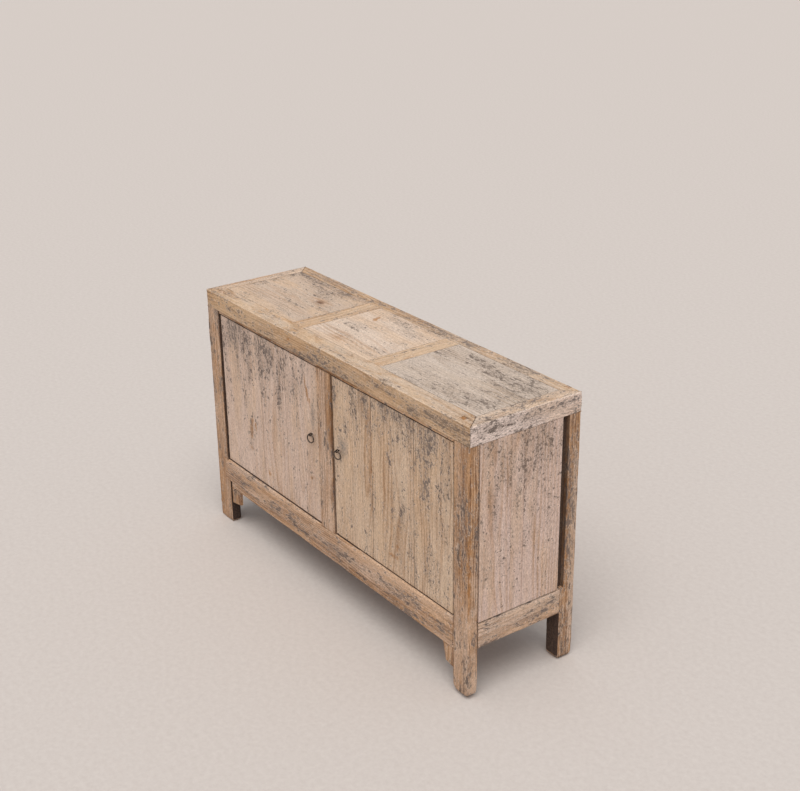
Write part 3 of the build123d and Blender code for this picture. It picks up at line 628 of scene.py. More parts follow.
    # Grey stains, and the dark hearts of knots.
    if "grey" in marks:
        stain = add_marks(add, ragged, marks["grey"], 0.0, lean_axis)
        colour = lay_over(add, colour, GREY_STAIN, stain, add("MapRange", [crumbs, 0.3, 0.6], **RISE))
    if knots:
        colour = lay_over(add, colour, KNOT_HEART, knot_heart, 0.8)

    # Pores hold dirt, the surface is uneven, and faces in gaps and under the cabinet get dirt and painted
    # shade.
    pore = add("MapRange", [pores, 0.55, 0.68], **RISE)
    colour = lay_over(add, colour, dark, pore, 0.22)
    shade = weighted_sum(add, 0.5 - 0.5 * grit_share, (fibres, 0.45), (crumbs, 0.55), (grit, grit_share))
    colour = add("Mix", {0: 1.0, 6: colour, 7: shade}, 2, data_type="RGBA", blend_type="MULTIPLY")
    # Painted shade and old dirt darken faces in gaps, in recesses and under the cabinet.
    colour = lay_over(add, colour, DIRT_AND_SHADE_COLOUR, dirt, weighted_sum(add, 0.68, (crumbs, 0.6)))

    # Raised late wood, sunken pores and a slight step at each fleck.
    height = weighted_sum(add, 0.0, (late, 0.35), (fibres, 0.9), (pore, -0.5), (speck, -0.4), (crumbs, 0.5))
    relief = add("Bump", {"Strength": 0.9, "Distance": 0.0009, "Height": height})
    rough = weighted_sum(add, 0.84, (fibres, -0.25))
    skin = add("BsdfPrincipled", {"Base Color": colour, "Roughness": rough, "IOR": 1.48, "Normal": relief})
    add("OutputMaterial", {"Surface": skin})
    return material


FRAME_WOOD = ("#6f4a2e", "#a97b50", "#cda277")
PALE_WOOD = ("#8f6947", "#bd9470", "#d6b592")
TOP_WOOD = ("#85603d", "#b78c60", "#d3af85")
GREY_WOOD = ("#846d58", "#ab947e", "#c9b5a1")
LIME = "#d8bfac"
FRAME_LIME = "#d5b9a3"

# The legs' wash is worn thin, so they look warm brown, with long streaks of dark paint and orange late wood.
frame_upright = reclaimed_elm(
    "reclaimed elm frame, upright grain", 2, FRAME_WOOD, FRAME_LIME, 0.36, 0.42, 0.12,
    fleck_along=30.0, dark="#463a33", grit_share=1.2,
    marks={
        "fleck": [
            (668, -189, 480, 60, 60, 420, 0.5), (0, -189, 420, 50, 30, 330, -0.5),
            (-690, -189, 640, 30, 40, 90, 0.7), (-690, -189, 480, 20, 40, 60, 0.8),
            (655, -189, 480, 10, 30, 110, 1.2), (-30, -189, 630, 12, 30, 100, 0.9),
            (700, -165, 200, 30, 16, 40, 1.0), (702, 172, 450, 12, 36, 420, 0.7),
            (702, 150, 500, 12, 10, 340, 1.8),
        ],
        "warm": [
            (699, -190, 420, 8, 8, 190, 1.3), (660, -192, 400, 40, 7, 420, 0.3),
            (700, 163, 500, 40, 9, 330, 1.3), (641.5, -164, 845, 16, 16, 12, 2.5),
        ],
        "pale": [
            (0, -189, 500, 46, 30, 330, 0.4), (704, -160, 400, 9, 50, 500, 0.5),
            (20, -189, 295, 24, 30, 60, 0.9), (650, -189, 470, 8, 30, 20, 2.0),
            (700, -168, 40, 26, 20, 60, 1.0), (702, 186, 350, 12, 16, 420, 2.2),
        ],
    },
)
# The long rails are the same worn elm, paler along their noses, where the light catches them.
frame_long = reclaimed_elm(
    "reclaimed elm frame, long grain", 0, FRAME_WOOD, FRAME_LIME, 0.4, 0.35, 0.1,
    fleck_along=30.0, grit_share=1.2,
    marks={
        "fleck": [
            (420, -189, 185, 330, 40, 40, 0.4), (590, -189, 180, 60, 40, 30, 0.5),
            (-300, -189, 180, 330, 40, 24, 0.4), (10, -189, 190, 60, 40, 20, 0.5),
        ],
        "pale": [(-300, -189, 236, 420, 30, 18, 0.9), (400, -189, 236, 420, 30, 18, 0.9)],
    },
)
# The side rails keep more wash and look a shade paler and pinker.
frame_deep = reclaimed_elm(
    "reclaimed elm frame, grain from front to back", 1, FRAME_WOOD, "#dcc2ae", 0.55, 0.4, 0.1, lean_axis=0,
    fleck_along=40.0, grit_share=1.3,
    marks={
        "fleck": [(0, 0, 180, 1500, 220, 34, 0.6), (0, 75, 195, 1500, 14, 14, 1.0)],
        # The pale band along the upper nose is a painted highlight.
        "pale": [(0, 0, 236, 1500, 260, 20, 0.9)],
    },
)
# The left door is evenly washed and pinkish, under a curtain of dark flecks that thins downwards.
left_door_elm = reclaimed_elm(
    "limewashed elm, left door", 2, PALE_WOOD, "#dcc4b5", 0.76, 0.12,
    marks=on_face(
        1, -185, 300,
        fleck=[
            (-400, 740, 380, 200, 1.0), (-540, 730, 110, 80, 0.8), (-372, 650, 20, 140, 0.8),
            (-480, 715, 24, 80, 0.7), (-272, 620, 28, 80, 0.8), (-180, 690, 26, 80, 0.6),
            (-265, 540, 16, 80, 0.5), (-160, 600, 16, 110, 0.6), (-350, 480, 260, 110, 0.2),
        ],
        warm=[
            (-455, 425, 14, 60, 2.0, 12), (-425, 440, 10, 34, 1.5), (-465, 350, 26, 16, 1.0),
            (-95, 660, 9, 95, 2.2, -19), (-90, 385, 28, 8, 1.3, -25), (-350, 300, 22, 14, 0.9, 20),
        ],
        grey=[(-72, 598, 15, 60, 0.9)],
    ),
)
# The right door is yellower, its wash thinner, and its flecks hang down in streaks board by board.
right_door_elm = reclaimed_elm(
    "limewashed elm, right door", 2, PALE_WOOD, "#dac1a8", 0.64, 0.22, 0.05,
    marks=on_face(
        1, -185, 300,
        fleck=[
            (350, 775, 380, 150, 1.1), (495, 640, 50, 190, 0.7), (590, 590, 30, 220, 0.8),
            (345, 480, 22, 85, 0.7), (384, 460, 22, 90, 0.8), (330, 590, 14, 50, 0.8),
            (95, 610, 40, 100, 0.6), (455, 420, 16, 150, 0.8), (540, 360, 100, 130, 0.25),
        ],
        warm=[
            (247, 520, 8, 230, 1.3), (345, 303, 28, 8, 1.4), (365, 338, 10, 12, 1.2), (300, 430, 9, 150, 0.6),
        ],
        grey=[(92, 560, 26, 40, 1.0)],
    ),
)
# The side panels are the palest wash, with wide growth rings and brown flecks that thin out below.
side_elm = reclaimed_elm(
    "limewashed elm, side panels", 2, PALE_WOOD, "#dec6bb", 0.76, 0.05, lean_axis=0, ring=11.0,
    fleck_along=70.0, lines=0.5, dark="#4b392e", grey="#6a5a4e", grit_share=1.1,
    marks=on_face(
        0, 0, 1500,
        fleck=[
            (0, 790, 220, 200, 1.5), (0, 700, 26, 110, 0.9), (0, 590, 260, 230, 0.45),
            (-60, 380, 60, 90, 0.3), (0, 280, 260, 120, -0.5), (-20, 590, 30, 80, 0.8),
            (-97, 550, 12, 90, 0.8), (98, 620, 16, 190, 0.8), (-125, 690, 12, 100, 0.6),
            (-12, 430, 14, 100, 0.6),
        ],
        warm=[(-102, 725, 10, 60, 1.4), (-52, 620, 5, 140, 1.2)],
    ),
)
# The top's left panel has a greyed wash round a knot that draws the grain together.
top_left_elm = reclaimed_elm(
    "limewashed elm, left panel of the top", 0, PALE_WOOD, "#c6b3a2", 0.76, 0.2, lean_axis=2,
    fleck_along=45.0, dark="#54463d", grey="#6d6056",
    marks=on_face(
        2, 845, 300,
        fleck=[(-480, 150, 300, 60, 0.8), (-660, 60, 50, 130, 0.8), (-375, 140, 60, 60, 0.8),
               (-400, 100, 330, 130, 0.3)],
        warm=[(-350, 35, 70, 34, 1.6)],
    ),
    knots=[(-350, 35, 845, 70, 38, 200, 1.0)],
)
# The middle panel is the lightest board of the top, rubbed clean at the front.
top_middle_elm = reclaimed_elm(
    "limewashed elm, middle panel of the top", 0, PALE_WOOD, "#dac8b8", 0.84, 0.07, lean_axis=2,
    fleck_along=45.0, dark="#594b41", grey="#72655b",
    marks=on_face(
        2, 845, 300,
        fleck=[(40, 90, 80, 40, 0.9), (-100, -5, 50, 24, 0.5), (0, 140, 230, 40, 0.7),
               (110, 30, 40, 90, 0.5)],
        warm=[(-110, 85, 10, 30, 3.0, 30), (-50, -100, 60, 30, 0.9)],
    ),
)
# The right panel has weathered grey, with plain growth lines and heavy flecks towards its far corner.
top_right_elm = reclaimed_elm(
    "limewashed elm, right panel of the top", 0, GREY_WOOD, "#cbbcaf", 0.7, 0.25, lean_axis=2,
    fleck_along=45.0, lines=0.5, dark="#594b41", grey="#72655b",
    marks=on_face(
        2, 845, 300,
        fleck=[(600, 80, 170, 180, 0.9, 25), (430, 110, 200, 60, 0.7), (430, -80, 260, 40, 0.5),
               (560, -60, 120, 70, 0.6)],
        pale=[(300, -40, 120, 110, 0.6)],
    ),
)
# The top's long members are waxed yellow-brown, with a cooler upper face and a painted highlight on rubbed
# arrises.
top_frame_elm = reclaimed_elm(
    "limewashed elm, top frame", 0, TOP_WOOD, "#d3b595", 0.55, 0.25, 0.06, lean_axis=2,
    fleck_along=40.0, upper="#ccb8a4", edge="#dcc4ab", dark="#6b5a4c",
    marks={
        "pale": [(0, -155, 847, 900, 60, 6, 0.5)],
        "fleck": [
            (440, -190, 815, 60, 12, 34, 0.9), (620, -190, 815, 130, 12, 50, 0.9),
            (250, -190, 815, 500, 10, 50, 0.4), (-100, -190, 795, 500, 12, 22, 0.7),
            (-15, -165, 845, 60, 18, 12, 0.9), (0, 180, 845, 800, 34, 80, 0.7),
            (200, 180, 845, 500, 34, 80, 0.4),
        ],
        "warm": [(-190, -190, 815, 10, 12, 8, 1.8), (0, -190, 815, 900, 8, 40, 0.4)],
    },
)
# The cross rails are plain and warm, with few flecks.
top_cross_elm = reclaimed_elm(
    "waxed elm, cross rails of the top", 1, PALE_WOOD, "#ceb498", 0.66, 0.15, 0.06, lean_axis=2,
)
# The end members are chalky: nearly white wash, broken by coarse dark paint; their arrises carry a painted
# highlight.
top_end_elm = reclaimed_elm(
    "limewashed elm, ends of the top", 1, PALE_WOOD, "#f3e2da", 0.9, 0.45, lean_axis=2, dark="#44352c",
    grit_share=1.5, fleck_along=60.0, upper="#cfbcab", edge="#e9d6c8",
    marks={
        "fleck": [(668, 40, 845, 30, 230, 12, 0.8), (700, 0, 815, 12, 250, 40, 0.4)],
        "warm": [(-690, 0, 845, 16, 260, 20, 0.9)],
    },
)
# Wood inside was never washed: bare, brown and quiet. There is one for each way that the grain can run.
raw_elm = [
    reclaimed_elm("unwashed elm inside the cabinet, grain along " + letter, grain, FRAME_WOOD, LIME, 0.15)
    for grain, letter in enumerate("xyz")
]


def forged_iron(name, tones, wash):
    """Hand-forged iron: scale in three tones, brown rust in its pits, and a smear of limewash.

    The scale is mottled in blots of about 2 mm, and the pits are under 1 mm across.
    """
    material, add = new_material(name)
    place = add("TexCoord", {}, "Object")
    mottle = stretched_noise(add, place, (420.0, 420.0, 420.0), 4.0, 0.6)
    pits = stretched_noise(add, place, (1500.0, 1500.0, 1500.0), 2.0, 0.5)
    colour = add("ValToRGB", [mottle], stops=[(0.35, tones[0]), (0.52, tones[1]), (0.66, tones[2])])
    colour = lay_over(add, colour, RUST, add("MapRange", [pits, 0.52, 0.68], **RISE), 0.5)
    smear = add("MapRange", [weighted_sum(add, wash, (mottle, 1.0)), 0.9, 1.1], **RISE)
    colour = lay_over(add, colour, LIME, smear, 0.85)
    metal = weighted_sum(add, 0.7, (smear, -0.7))
    rough = weighted_sum(add, 0.55, (mottle, -0.3), (smear, 0.3))
    relief = add("Bump", {"Strength": 0.6, "Distance": 0.0002, "Height": mottle})
    skin = add(
        "BsdfPrincipled", {"Base Color": colour, "Metallic": metal, "Roughness": rough, "Normal": relief}
    )
    add("OutputMaterial", {"Surface": skin})
    return material


# Fingers rub the rings to a dull shine; the pins are near black, partly as painted shade; the washers carry
# wash.
rubbed_iron = forged_iron("hand-forged iron, rubbed by hands", ("#2e2723", "#51463f", "#a3968a"), 0.25)
dark_iron_and_shade = forged_iron("hand-forged iron, dark scale", ("#171413", "#28231f", "#4d443d"), 0.1)
washed_iron = forged_iron("hand-forged iron under limewash", ("#39302b", "#5d5149", "#a3968a"), 0.6)


# ---- Legs
LEG_RADIUS = 3.0
# A foot's radii: at its sides, and at its front and back.
FRONT_FOOT, REAR_FOOT = (26.0, 14.0), (13.0, 13.0)
FOOT_WEAR = 55.0
FOOT_SMOOTHINGS = round(14 * (5.0 / GRID) ** 2)
TENON_ROOT, TENON_TOP = FRAME_UNDER - 1, TOP - 0.4
TENON_RADIUS = 0.5
MORTISE_SLACK, MORTISE_RISE = 0.4, 3.6
# Two corners of each tenon on the right side.
tenons = {"front": ((631.5, -171.8), (651.5, -156.8)), "rear": ((645.0, 184.2), (661.0, 196.2))}


def tenon_box(place, row, slack=0.0, rise=0.0):
    """Return the corners of a leg's tenon on one side, with some slack round it and a rise above it."""
    (inner, near), (outer, far) = tenons[row]
    left, right = sorted((place * inner, place * outer))
    return (left - slack, near - slack, TENON_ROOT), (right + slack, far + slack, TENON_TOP + rise)


def leg(row, side, place, low, high, heart, foot, **rest):
    """Model a leg: its foot is worn round, and its tenon runs up through the top."""
    joints = {"+z": JOINT_RADIUS}
    by_face = radius_by_face(low, high, LEG_RADIUS, joints)
    sides, front = foot

    def radius_of(start, end):
        if max(start.z, end.z) < 1:
            return sides if abs((end - start).y) > 1 else front
        return by_face(start, end)

    def shape_ends(piece):
        edit(
            piece, "VERT", lambda points: points[0].z < FOOT_WEAR, bpy.ops.mesh.vertices_smooth,
            factor=0.5, repeat=FOOT_SMOOTHINGS,
        )
        tenon = start_block("tenon", *tenon_box(place, row))
        round_arrises(tenon, lambda start, end: TENON_RADIUS, 2)
        join_to(piece, [tenon])

    board(
        "leg_%s_%s" % (row, side), "%s_leg_%s" % (row, side), low, high, 2, heart, frame_upright,
        joints=joints, after=shape_ends, segments=6, radius_of=radius_of, face_depth=1.2,
        arris_depth=2.4, **rest,
    )


def widen_foot(piece):
    """Widen the left front foot below the rail, and sink the recess for the rail's shoulder."""
    extend(piece, (0, -LEG_INNER), (2, RAIL_UNDER), LEFT_FOOT_INNER + LEG_INNER)
    rebate(piece, (-LEG_INNER, FRONT), (LAP_END, FRONT + LAP_DEPTH), RAIL_UNDER, RAIL_TOP)


lap_levels = ((LAP_END, -LEG_INNER), (FRONT + LAP_DEPTH,), (RAIL_UNDER, RAIL_TOP))
# The legs' inner faces, beside the doors and under the cabinet, are darkened by painted shade as well as old
# dirt.
for side, place in SIDES:
    left, right = sorted((place * RIGHT, place * LEG_INNER))
    leg(
        "front", side, place, (left, FRONT, 0), (right, FRONT + LEG_DEPTH, FRAME_UNDER), (20, 80, 0),
        FRONT_FOOT, shape=widen_foot if place < 0 else None, levels=lap_levels if place < 0 else NO_LEVELS,
        dirt=[(0, place * LEG_INNER, 0.9, RAIL_TOP + 1, FRAME_UNDER), (0, LEFT_FOOT_INNER, 1.0),
              (1, FRONT + LEG_DEPTH, 0.8)],
    )
    left, right = sorted((place * RIGHT, place * REAR_LEG_INNER))
    face = place * SIDE_FACE
    leg(
        "rear", side, place, (left, REAR_LEG_FRONT, 0), (right, BACK, FRAME_UNDER), (-60, -50, 0), REAR_FOOT,
        shape=partial(rebate, arris=(place * RIGHT, REAR_LEG_FRONT), inner=(face, REBATE_BACK),
                      bottom=RAIL_TOP, top=FRAME_UNDER), levels=((face,), (REBATE_BACK,), (RAIL_TOP,)),
        dirt=[(0, place * REAR_LEG_INNER, 0.9), (1, REAR_LEG_FRONT, 0.95), (0, face, 0.9),
              (1, REBATE_BACK, 0.55)],
    )

# ---- Top frame, mitred at its corners
END_WIDTH = 46.0
MITRE_GAP = 0.6
TOP_RADIUS = 3.0


def mitre_at(piece, side, at_front, keep_end):
    """Cut a top member along the mitre at one corner, and keep its end or its long part."""
    width = PANEL_FRONT - FRONT if at_front else BACK - PANEL_BACK
    corner = Vector((side * RIGHT, FRONT if at_front else BACK, TOP))
    run = Vector((-side * END_WIDTH, width if at_front else -width, 0)).normalized()
    normal = Vector((-run.y, run.x, 0))
    kept = Vector((side * RIGHT, 0, TOP)) if keep_end else Vector((0, corner.y, TOP))
    if (kept - corner).dot(normal) > 0:
        normal = -normal
    mitre(piece, corner - normal * MITRE_GAP, normal)


def cut_long(piece, row):
    """Mitre a long member of the top, and cut its mortises for the leg tenons."""
    for side in (-1, 1):
        mitre_at(piece, side, row == "front", False)
        notch(piece, *tenon_box(side, row, MORTISE_SLACK, MORTISE_RISE))


def cut_end(piece, place):
    """Mitre an end member of the top."""
    for at_front in (True, False):
        mitre_at(piece, place, at_front, True)


for row, near, far, heart, seam in (
    ("front", FRONT, PANEL_FRONT, (0, 50, -60), "+y"), ("rear", PANEL_BACK, BACK, (0, -40, -60), "-y"),
):
    board(
        "top_member_" + row, "top_%s_member" % row, (LEFT, near, FRAME_UNDER), (RIGHT, far, TOP), 0, heart,
        top_frame_elm, usual=TOP_RADIUS, joints={seam: SEAM_RADIUS, "-z": HIDDEN_RADIUS},
        after=partial(cut_long, row=row),
    )
for side, place in SIDES:
    left, right = sorted((place * (RIGHT - END_WIDTH), place * RIGHT))
    board(
        "top_member_" + side, "top_end_member_" + side, (left, FRONT, FRAME_UNDER), (right, BACK, TOP), 1,
        (place * -40, 0, -50), top_end_elm, usual=TOP_RADIUS, after=partial(cut_end, place=place),
        joints={"-x" if place > 0 else "+x": SEAM_RADIUS, "-z": HIDDEN_RADIUS},
    )

# ---- Top panels and cross rails, laid flush in the frame
TONGUE = 7.0
PANEL_GAP = 0.3
PANEL_SINK = 0.2
flush = {"-x": SEAM_RADIUS, "+x": SEAM_RADIUS, "-y": SEAM_RADIUS, "+y": SEAM_RADIUS, "-z": HIDDEN_RADIUS}
top_panels = {
    "left": (top_left_elm, (0, 15, -60)),
    "middle": (top_middle_elm, (0, -30, -80)),
    "right": (top_right_elm, (0, 40, -50)),
}
for side, (elm, heart) in top_panels.items():
    low, high = solid_box("top_panel_" + side)
    board(
        "top_board_" + side, "top_panel_" + side, (low.x + TONGUE, PANEL_FRONT + PANEL_GAP, low.z),
        (high.x - TONGUE, PANEL_BACK - PANEL_GAP, TOP - PANEL_SINK), 0, heart, elm, joints=flush,
        slot="top_elm", dirt=[(1, PANEL_FRONT + PANEL_GAP, 0.35), (0, high.x - TONGUE, 0.3)],
    )
for side, _ in SIDES:
    low, high = solid_box("top_cross_rail_" + side)
    board(
        "top_batten_" + side, "top_cross_rail_" + side, (low.x, PANEL_FRONT, low.z),
        (high.x, PANEL_BACK, TOP), 1, (10, 0, -70), top_cross_elm, joints=flush, slot="top_elm",
    )

# ---- Rails, apron and spandrels
RAIL_NOSE = 9.0
RAIL_RADIUS = 2.0
STRIP_RADIUS = 1.2


def rail(name, node, low, high, grain, heart, material, across, place, **rest):
    """Model a rail whose upper outer arris, on a plane across an axis, is rounded to a nose."""
    ends = {sign + "xyz"[grain]: JOINT_RADIUS for sign in "-+"}
    by_face = radius_by_face(low, high, RAIL_RADIUS, ends)

    def radius_of(start, end):
        outside = max(abs(start[across] - place), abs(end[across] - place)) < 1
        return RAIL_NOSE if outside and min(start.z, end.z) > RAIL_TOP - 1 else by_face(start, end)

    # The rail's top face, under the doors, is darkened by painted shade.
    board(
        name, node, low, high, grain, heart, material, joints=ends, dirt=[(2, RAIL_TOP, 0.9)], segments=6,
        radius_of=radius_of, face_depth=1.0, **rest,
    )


# The front rail's left shoulder laps over the leg.
rail(
    "rail_front", "front_lower_rail", (-LEG_INNER, FRONT, RAIL_UNDER),
    (LEG_INNER, FRONT + RAIL_DEPTH, RAIL_TOP), 0, (0, 30, -20), frame_long, 1, FRONT,
    shape=partial(extend, face=(0, -LEG_INNER), split=(1, FRONT + LAP_DEPTH), length=LAP_END + LEG_INNER),
    levels=((-LEG_INNER,), (FRONT + LAP_DEPTH,), ()),
)
for side, place in SIDES:
    left, right = sorted((place * RIGHT, place * (RIGHT - RAIL_DEPTH)))
    rail(
        "rail_side_" + side, "side_lower_rail_" + side, (left, FRONT + LEG_DEPTH, RAIL_UNDER),
        (right, REAR_LEG_FRONT, RAIL_TOP), 1, (place * 60, 0, 10), frame_deep, 0, place * RIGHT,
    )
board(
    "rail_rear", "rear_lower_rail", (-REAR_LEG_INNER, BACK - REAR_RAIL_DEPTH, RAIL_UNDER),
    (REAR_LEG_INNER, BACK, RAIL_TOP), 0, (0, -60, 20), frame_long,
    joints={"-x": JOINT_RADIUS, "+x": JOINT_RADIUS}, dirt=[(1, BACK - REAR_RAIL_DEPTH, 0.7)],
)
board(
    "apron", "apron_strip", *solid_box("apron_strip"), 0, (0, 40, 10), frame_long, usual=STRIP_RADIUS,
    joints={"+z": SHOULDER_RADIUS},
)


def pull_corner(piece, x, z, move):
    """Move a block's corner to a spandrel's outline."""
    edit(
        piece, "VERT", lambda points: abs(points[0].x - x) < 1 and abs(points[0].z - z) < 1,
        bpy.ops.transform.translate, value=[value * MM for value in move],
    )


for side, move in (("left", (0, 0, 12)), ("right", (13, 0, 8))):
    low, high = solid_box("spandrel_" + side)
    corner = high.x if side == "left" else low.x
    board(
        "bracket_" + side, "spandrel_" + side, low, high, 2, (0, 50, 0), frame_upright, usual=STRIP_RADIUS,
        joints={"+z": SHOULDER_RADIUS}, arris_depth=1.2,
        shape=partial(pull_corner, x=corner, z=low.z, move=move),
    )

# ---- Door opening
POST_HALF, POST_DEPTH, POST_TOP = 38.5, 27.0, 776.0
low, high = solid_box("door_head_strip")
board(
    "head_strip", "door_head_strip", low, high, 0, (0, 60, 30), frame_long, usual=1.0,
    joints={"+z": SHOULDER_RADIUS}, dirt=[(2, low.z, 0.8)],
)
# The post's sides at the door gaps are darkened by painted shade.
board(
    "post_centre", "centre_post", (-POST_HALF, FRONT, RAIL_TOP), (POST_HALF, FRONT + POST_DEPTH, POST_TOP), 2,
    (10, 80, 0), frame_upright, usual=1.6, joints={"+z": SHOULDER_RADIUS, "-z": SHOULDER_RADIUS},
    dirt=[(0, -POST_HALF, 0.15), (0, POST_HALF, 0.45)],
)

# ---- Doors
# Each board's two edges and its heart. The right door's outer board runs nearer to its leg than the left one.
door_boards = {
    "left_door": {
        "pivot_board": (-623.0, -382.0, (30, 90, 0)),
        "middle_board": (-382.0, -229.0, (-20, 120, 0)),
        "closing_board": (-229.0, -41.7, (-60, 70, 0)),
    },
    "right_door": {
        "closing_board": (41.7, 242.0, (50, 80, 0)),
        "middle_board": (242.0, 446.0, (-10, 100, 0)),
        "pivot_board": (446.0, 624.5, (20, 140, 0)),
    },
}
# The left door's seams are tight and nearly clean, the right door's have opened and hold dirt and painted
# shade.
door_seams = {"left_door": (0.3, 0.3, left_door_elm), "right_door": (0.8, 0.9, right_door_elm)}
for door, boards in door_boards.items():
    seam, seam_dirt_and_shade, elm = door_seams[door]
    for part, (start, end, heart) in boards.items():
        joints = {"-x": seam, "+x": seam}
        if part != "middle_board":
            joints.pop("-x" if (door == "left_door") == (part == "pivot_board") else "+x")
        # Edges at the gaps round each door are darkened by painted shade and old dirt.
        start_dirt_and_shade = seam_dirt_and_shade if "-x" in joints else 0.6
        end_dirt_and_shade = seam_dirt_and_shade if "+x" in joints else 0.1
        board(
            door + "_" + part + "_worn", door + "_" + part, (start + seam / 4, DOOR_FRONT, DOOR_UNDER),
            (end - seam / 4, DOOR_BACK, DOOR_TOP), 2, heart, elm, usual=1.8, joints=joints, body=door,
            slot="door_elm", face_depth=0.8, arris_depth=1.4,
            dirt=[(0, start, start_dirt_and_shade), (0, end, end_dirt_and_shade), (2, DOOR_UNDER, 0.7), (2, DOOR_TOP, 0.7)],
        )

# ---- Side panels
SIDE_UNDER = 245.0
BOARD_END = 135.7
# Each board's two edges, and how far its heart lay behind its middle. The rear one has a tongue.
side_boards = {
    "front": (FRONT + LEG_DEPTH, -45.8, 20),
    "middle": (-45.8, -0.8, 10),
    "rear": (-0.8, BOARD_END, -40),
}
for side, place in SIDES:
    left, right = sorted((place * SIDE_BOARD_INNER, place * RIGHT))
    face = place * SIDE_FACE
    for part, (start, end, heart) in side_boards.items():
        joints = {"-y": SEAM_RADIUS, "+y": SEAM_RADIUS, "-z": HIDDEN_RADIUS, "+z": SEAM_RADIUS}
        rest = {}
        if part == "rear":
            joints.pop("+y")
            reach = SIDE_TONGUE_BACK - BOARD_END
            tongue = partial(extend, face=(1, BOARD_END), split=(0, face), length=reach, sign=place)
            rest = {"shape": tongue, "levels": ((face,), (BOARD_END,), ())}
        board(
            "side_panel_" + part + "_" + side, "side_board_" + part + "_" + side, (left, start, SIDE_UNDER),
            (right, end, FRAME_UNDER), 2, (place * -70, heart, 0), side_elm, usual=1.8, joints=joints,
            slot="side_elm", dirt=[(0, face, 1.0), (1, BOARD_END, 0.8), (2, SIDE_UNDER, 1.0)],
            face_depth=0.8, arris_depth=1.0, **rest,
        )

# ---- Back
STILE_HALF, STILE_DEPTH = 30, 24
BOARDS_INNER, BOARDS_OUTER = BACK - 18, BACK - 6
BACK_BOARDS = 3
BACK_WIDTH = (REAR_LEG_INNER - STILE_HALF) / BACK_BOARDS
# Each seam is closed by this much, so that no light comes through.
BACK_SEAM = 0.3
stile_ends = {"+z": SHOULDER_RADIUS, "-z": SHOULDER_RADIUS}
board(
    "back_stile", "rear_stile", (-STILE_HALF, BACK - STILE_DEPTH, RAIL_TOP), (STILE_HALF, BACK, FRAME_UNDER),
    2, (5, -70, 0), frame_upright, usual=2.0, joints=stile_ends,
)
for side, place in SIDES:
    for number in range(BACK_BOARDS):
        edges = sorted(place * (STILE_HALF + count * BACK_WIDTH) for count in (number, number + 1))
        start, end = edges[0] - BACK_SEAM, edges[1] + BACK_SEAM
        board(
            "back_board_%s_%d" % (side, number + 1), "back_boards_" + side, (start, BOARDS_INNER, RAIL_TOP),
            (end, BOARDS_OUTER, FRAME_UNDER), 2, (30 - 25 * number, -90, 0), frame_upright, usual=1.0,
            joints={"-x": HIDDEN_RADIUS, "+x": HIDDEN_RADIUS, **stile_ends}, slot="inner_elm",
            dirt=[(0, start, 0.9), (0, end, 0.9)], arris_depth=1.2,
        )

# ---- Ring pulls: a ring in the eye of a split pin, over a washer
RING_X, RING_Z = 74.0, 542.0
EYE_Y = -194.3
RING_RADIUS, RING_WIRE = 13.5, 2.3
RING_TURN = math.radians(11)
EYE_RADIUS, EYE_WIRE = 4.6, 1.7
SHANK_FRONT, SHANK_HALF = EYE_Y + 3.4, 1.9
TAIL_FRONT, TAIL_BACK = DOOR_BACK + 0.1, DOOR_BACK + 1.6
TAIL_HALF, TAIL_REACH = 1.5, 11.0
WASHER_RADIUS, WASHER_DEPTH = 7.0, 1.5
HAMMER_DEPTH = 0.3


def torus(name, middle, turn, radius, wire, around=72, across=18):
    """Add a ring of round wire."""
    bpy.ops.object.select_all(action="DESELECT")
    bpy.ops.mesh.primitive_torus_add(
        location=[value * MM for value in middle], rotation=turn, major_radius=radius * MM,
        minor_radius=wire * MM, major_segments=around, minor_segments=across,
    )
    return name_new(name)


def hanging_ring(door, x):
    """Model the ring that hangs from the pin's eye and swings in it."""
    middle = (x, EYE_Y, RING_Z - RING_RADIUS)
    ring = torus(door + "_ring_forged", middle, (math.pi / 2, 0, RING_TURN), RING_RADIUS, RING_WIRE)
    press_in(ring, hammered, 0.5)
    finish_piece(ring, door + "_door_pull_ring", door + "_ring", "pull_iron", rubbed_iron)


def split_pin(door, x):
    """Model the split pin: an eye of bent wire, a shank through the door, and tails turned flat behind it."""
    pin = torus(door + "_split_pin", (x, EYE_Y, RING_Z), (0, math.pi / 2, 0), EYE_RADIUS, EYE_WIRE, 40, 14)
    bars = []
    for half, front, reach in ((SHANK_HALF, SHANK_FRONT, SHANK_HALF), (TAIL_HALF, TAIL_FRONT, TAIL_REACH)):
        bar = start_block("tail", (x - half, front, RING_Z - reach), (x + half, TAIL_BACK, RING_Z + reach))
        round_arrises(bar, lambda start, end: 0.7, segments=3)
        bars.append(bar)
    join_to(pin, bars)
    fuse = pin.modifiers.new("forged as one", "REMESH")
    fuse.mode = "VOXEL"
    fuse.voxel_size = 0.4 * MM
    bpy.ops.object.modifier_apply(modifier=fuse.name)
    press_in(pin, hammered, HAMMER_DEPTH)
    finish_piece(pin, door + "_door_pull_pin", door + "_door", "pull_iron", dark_iron_and_shade)


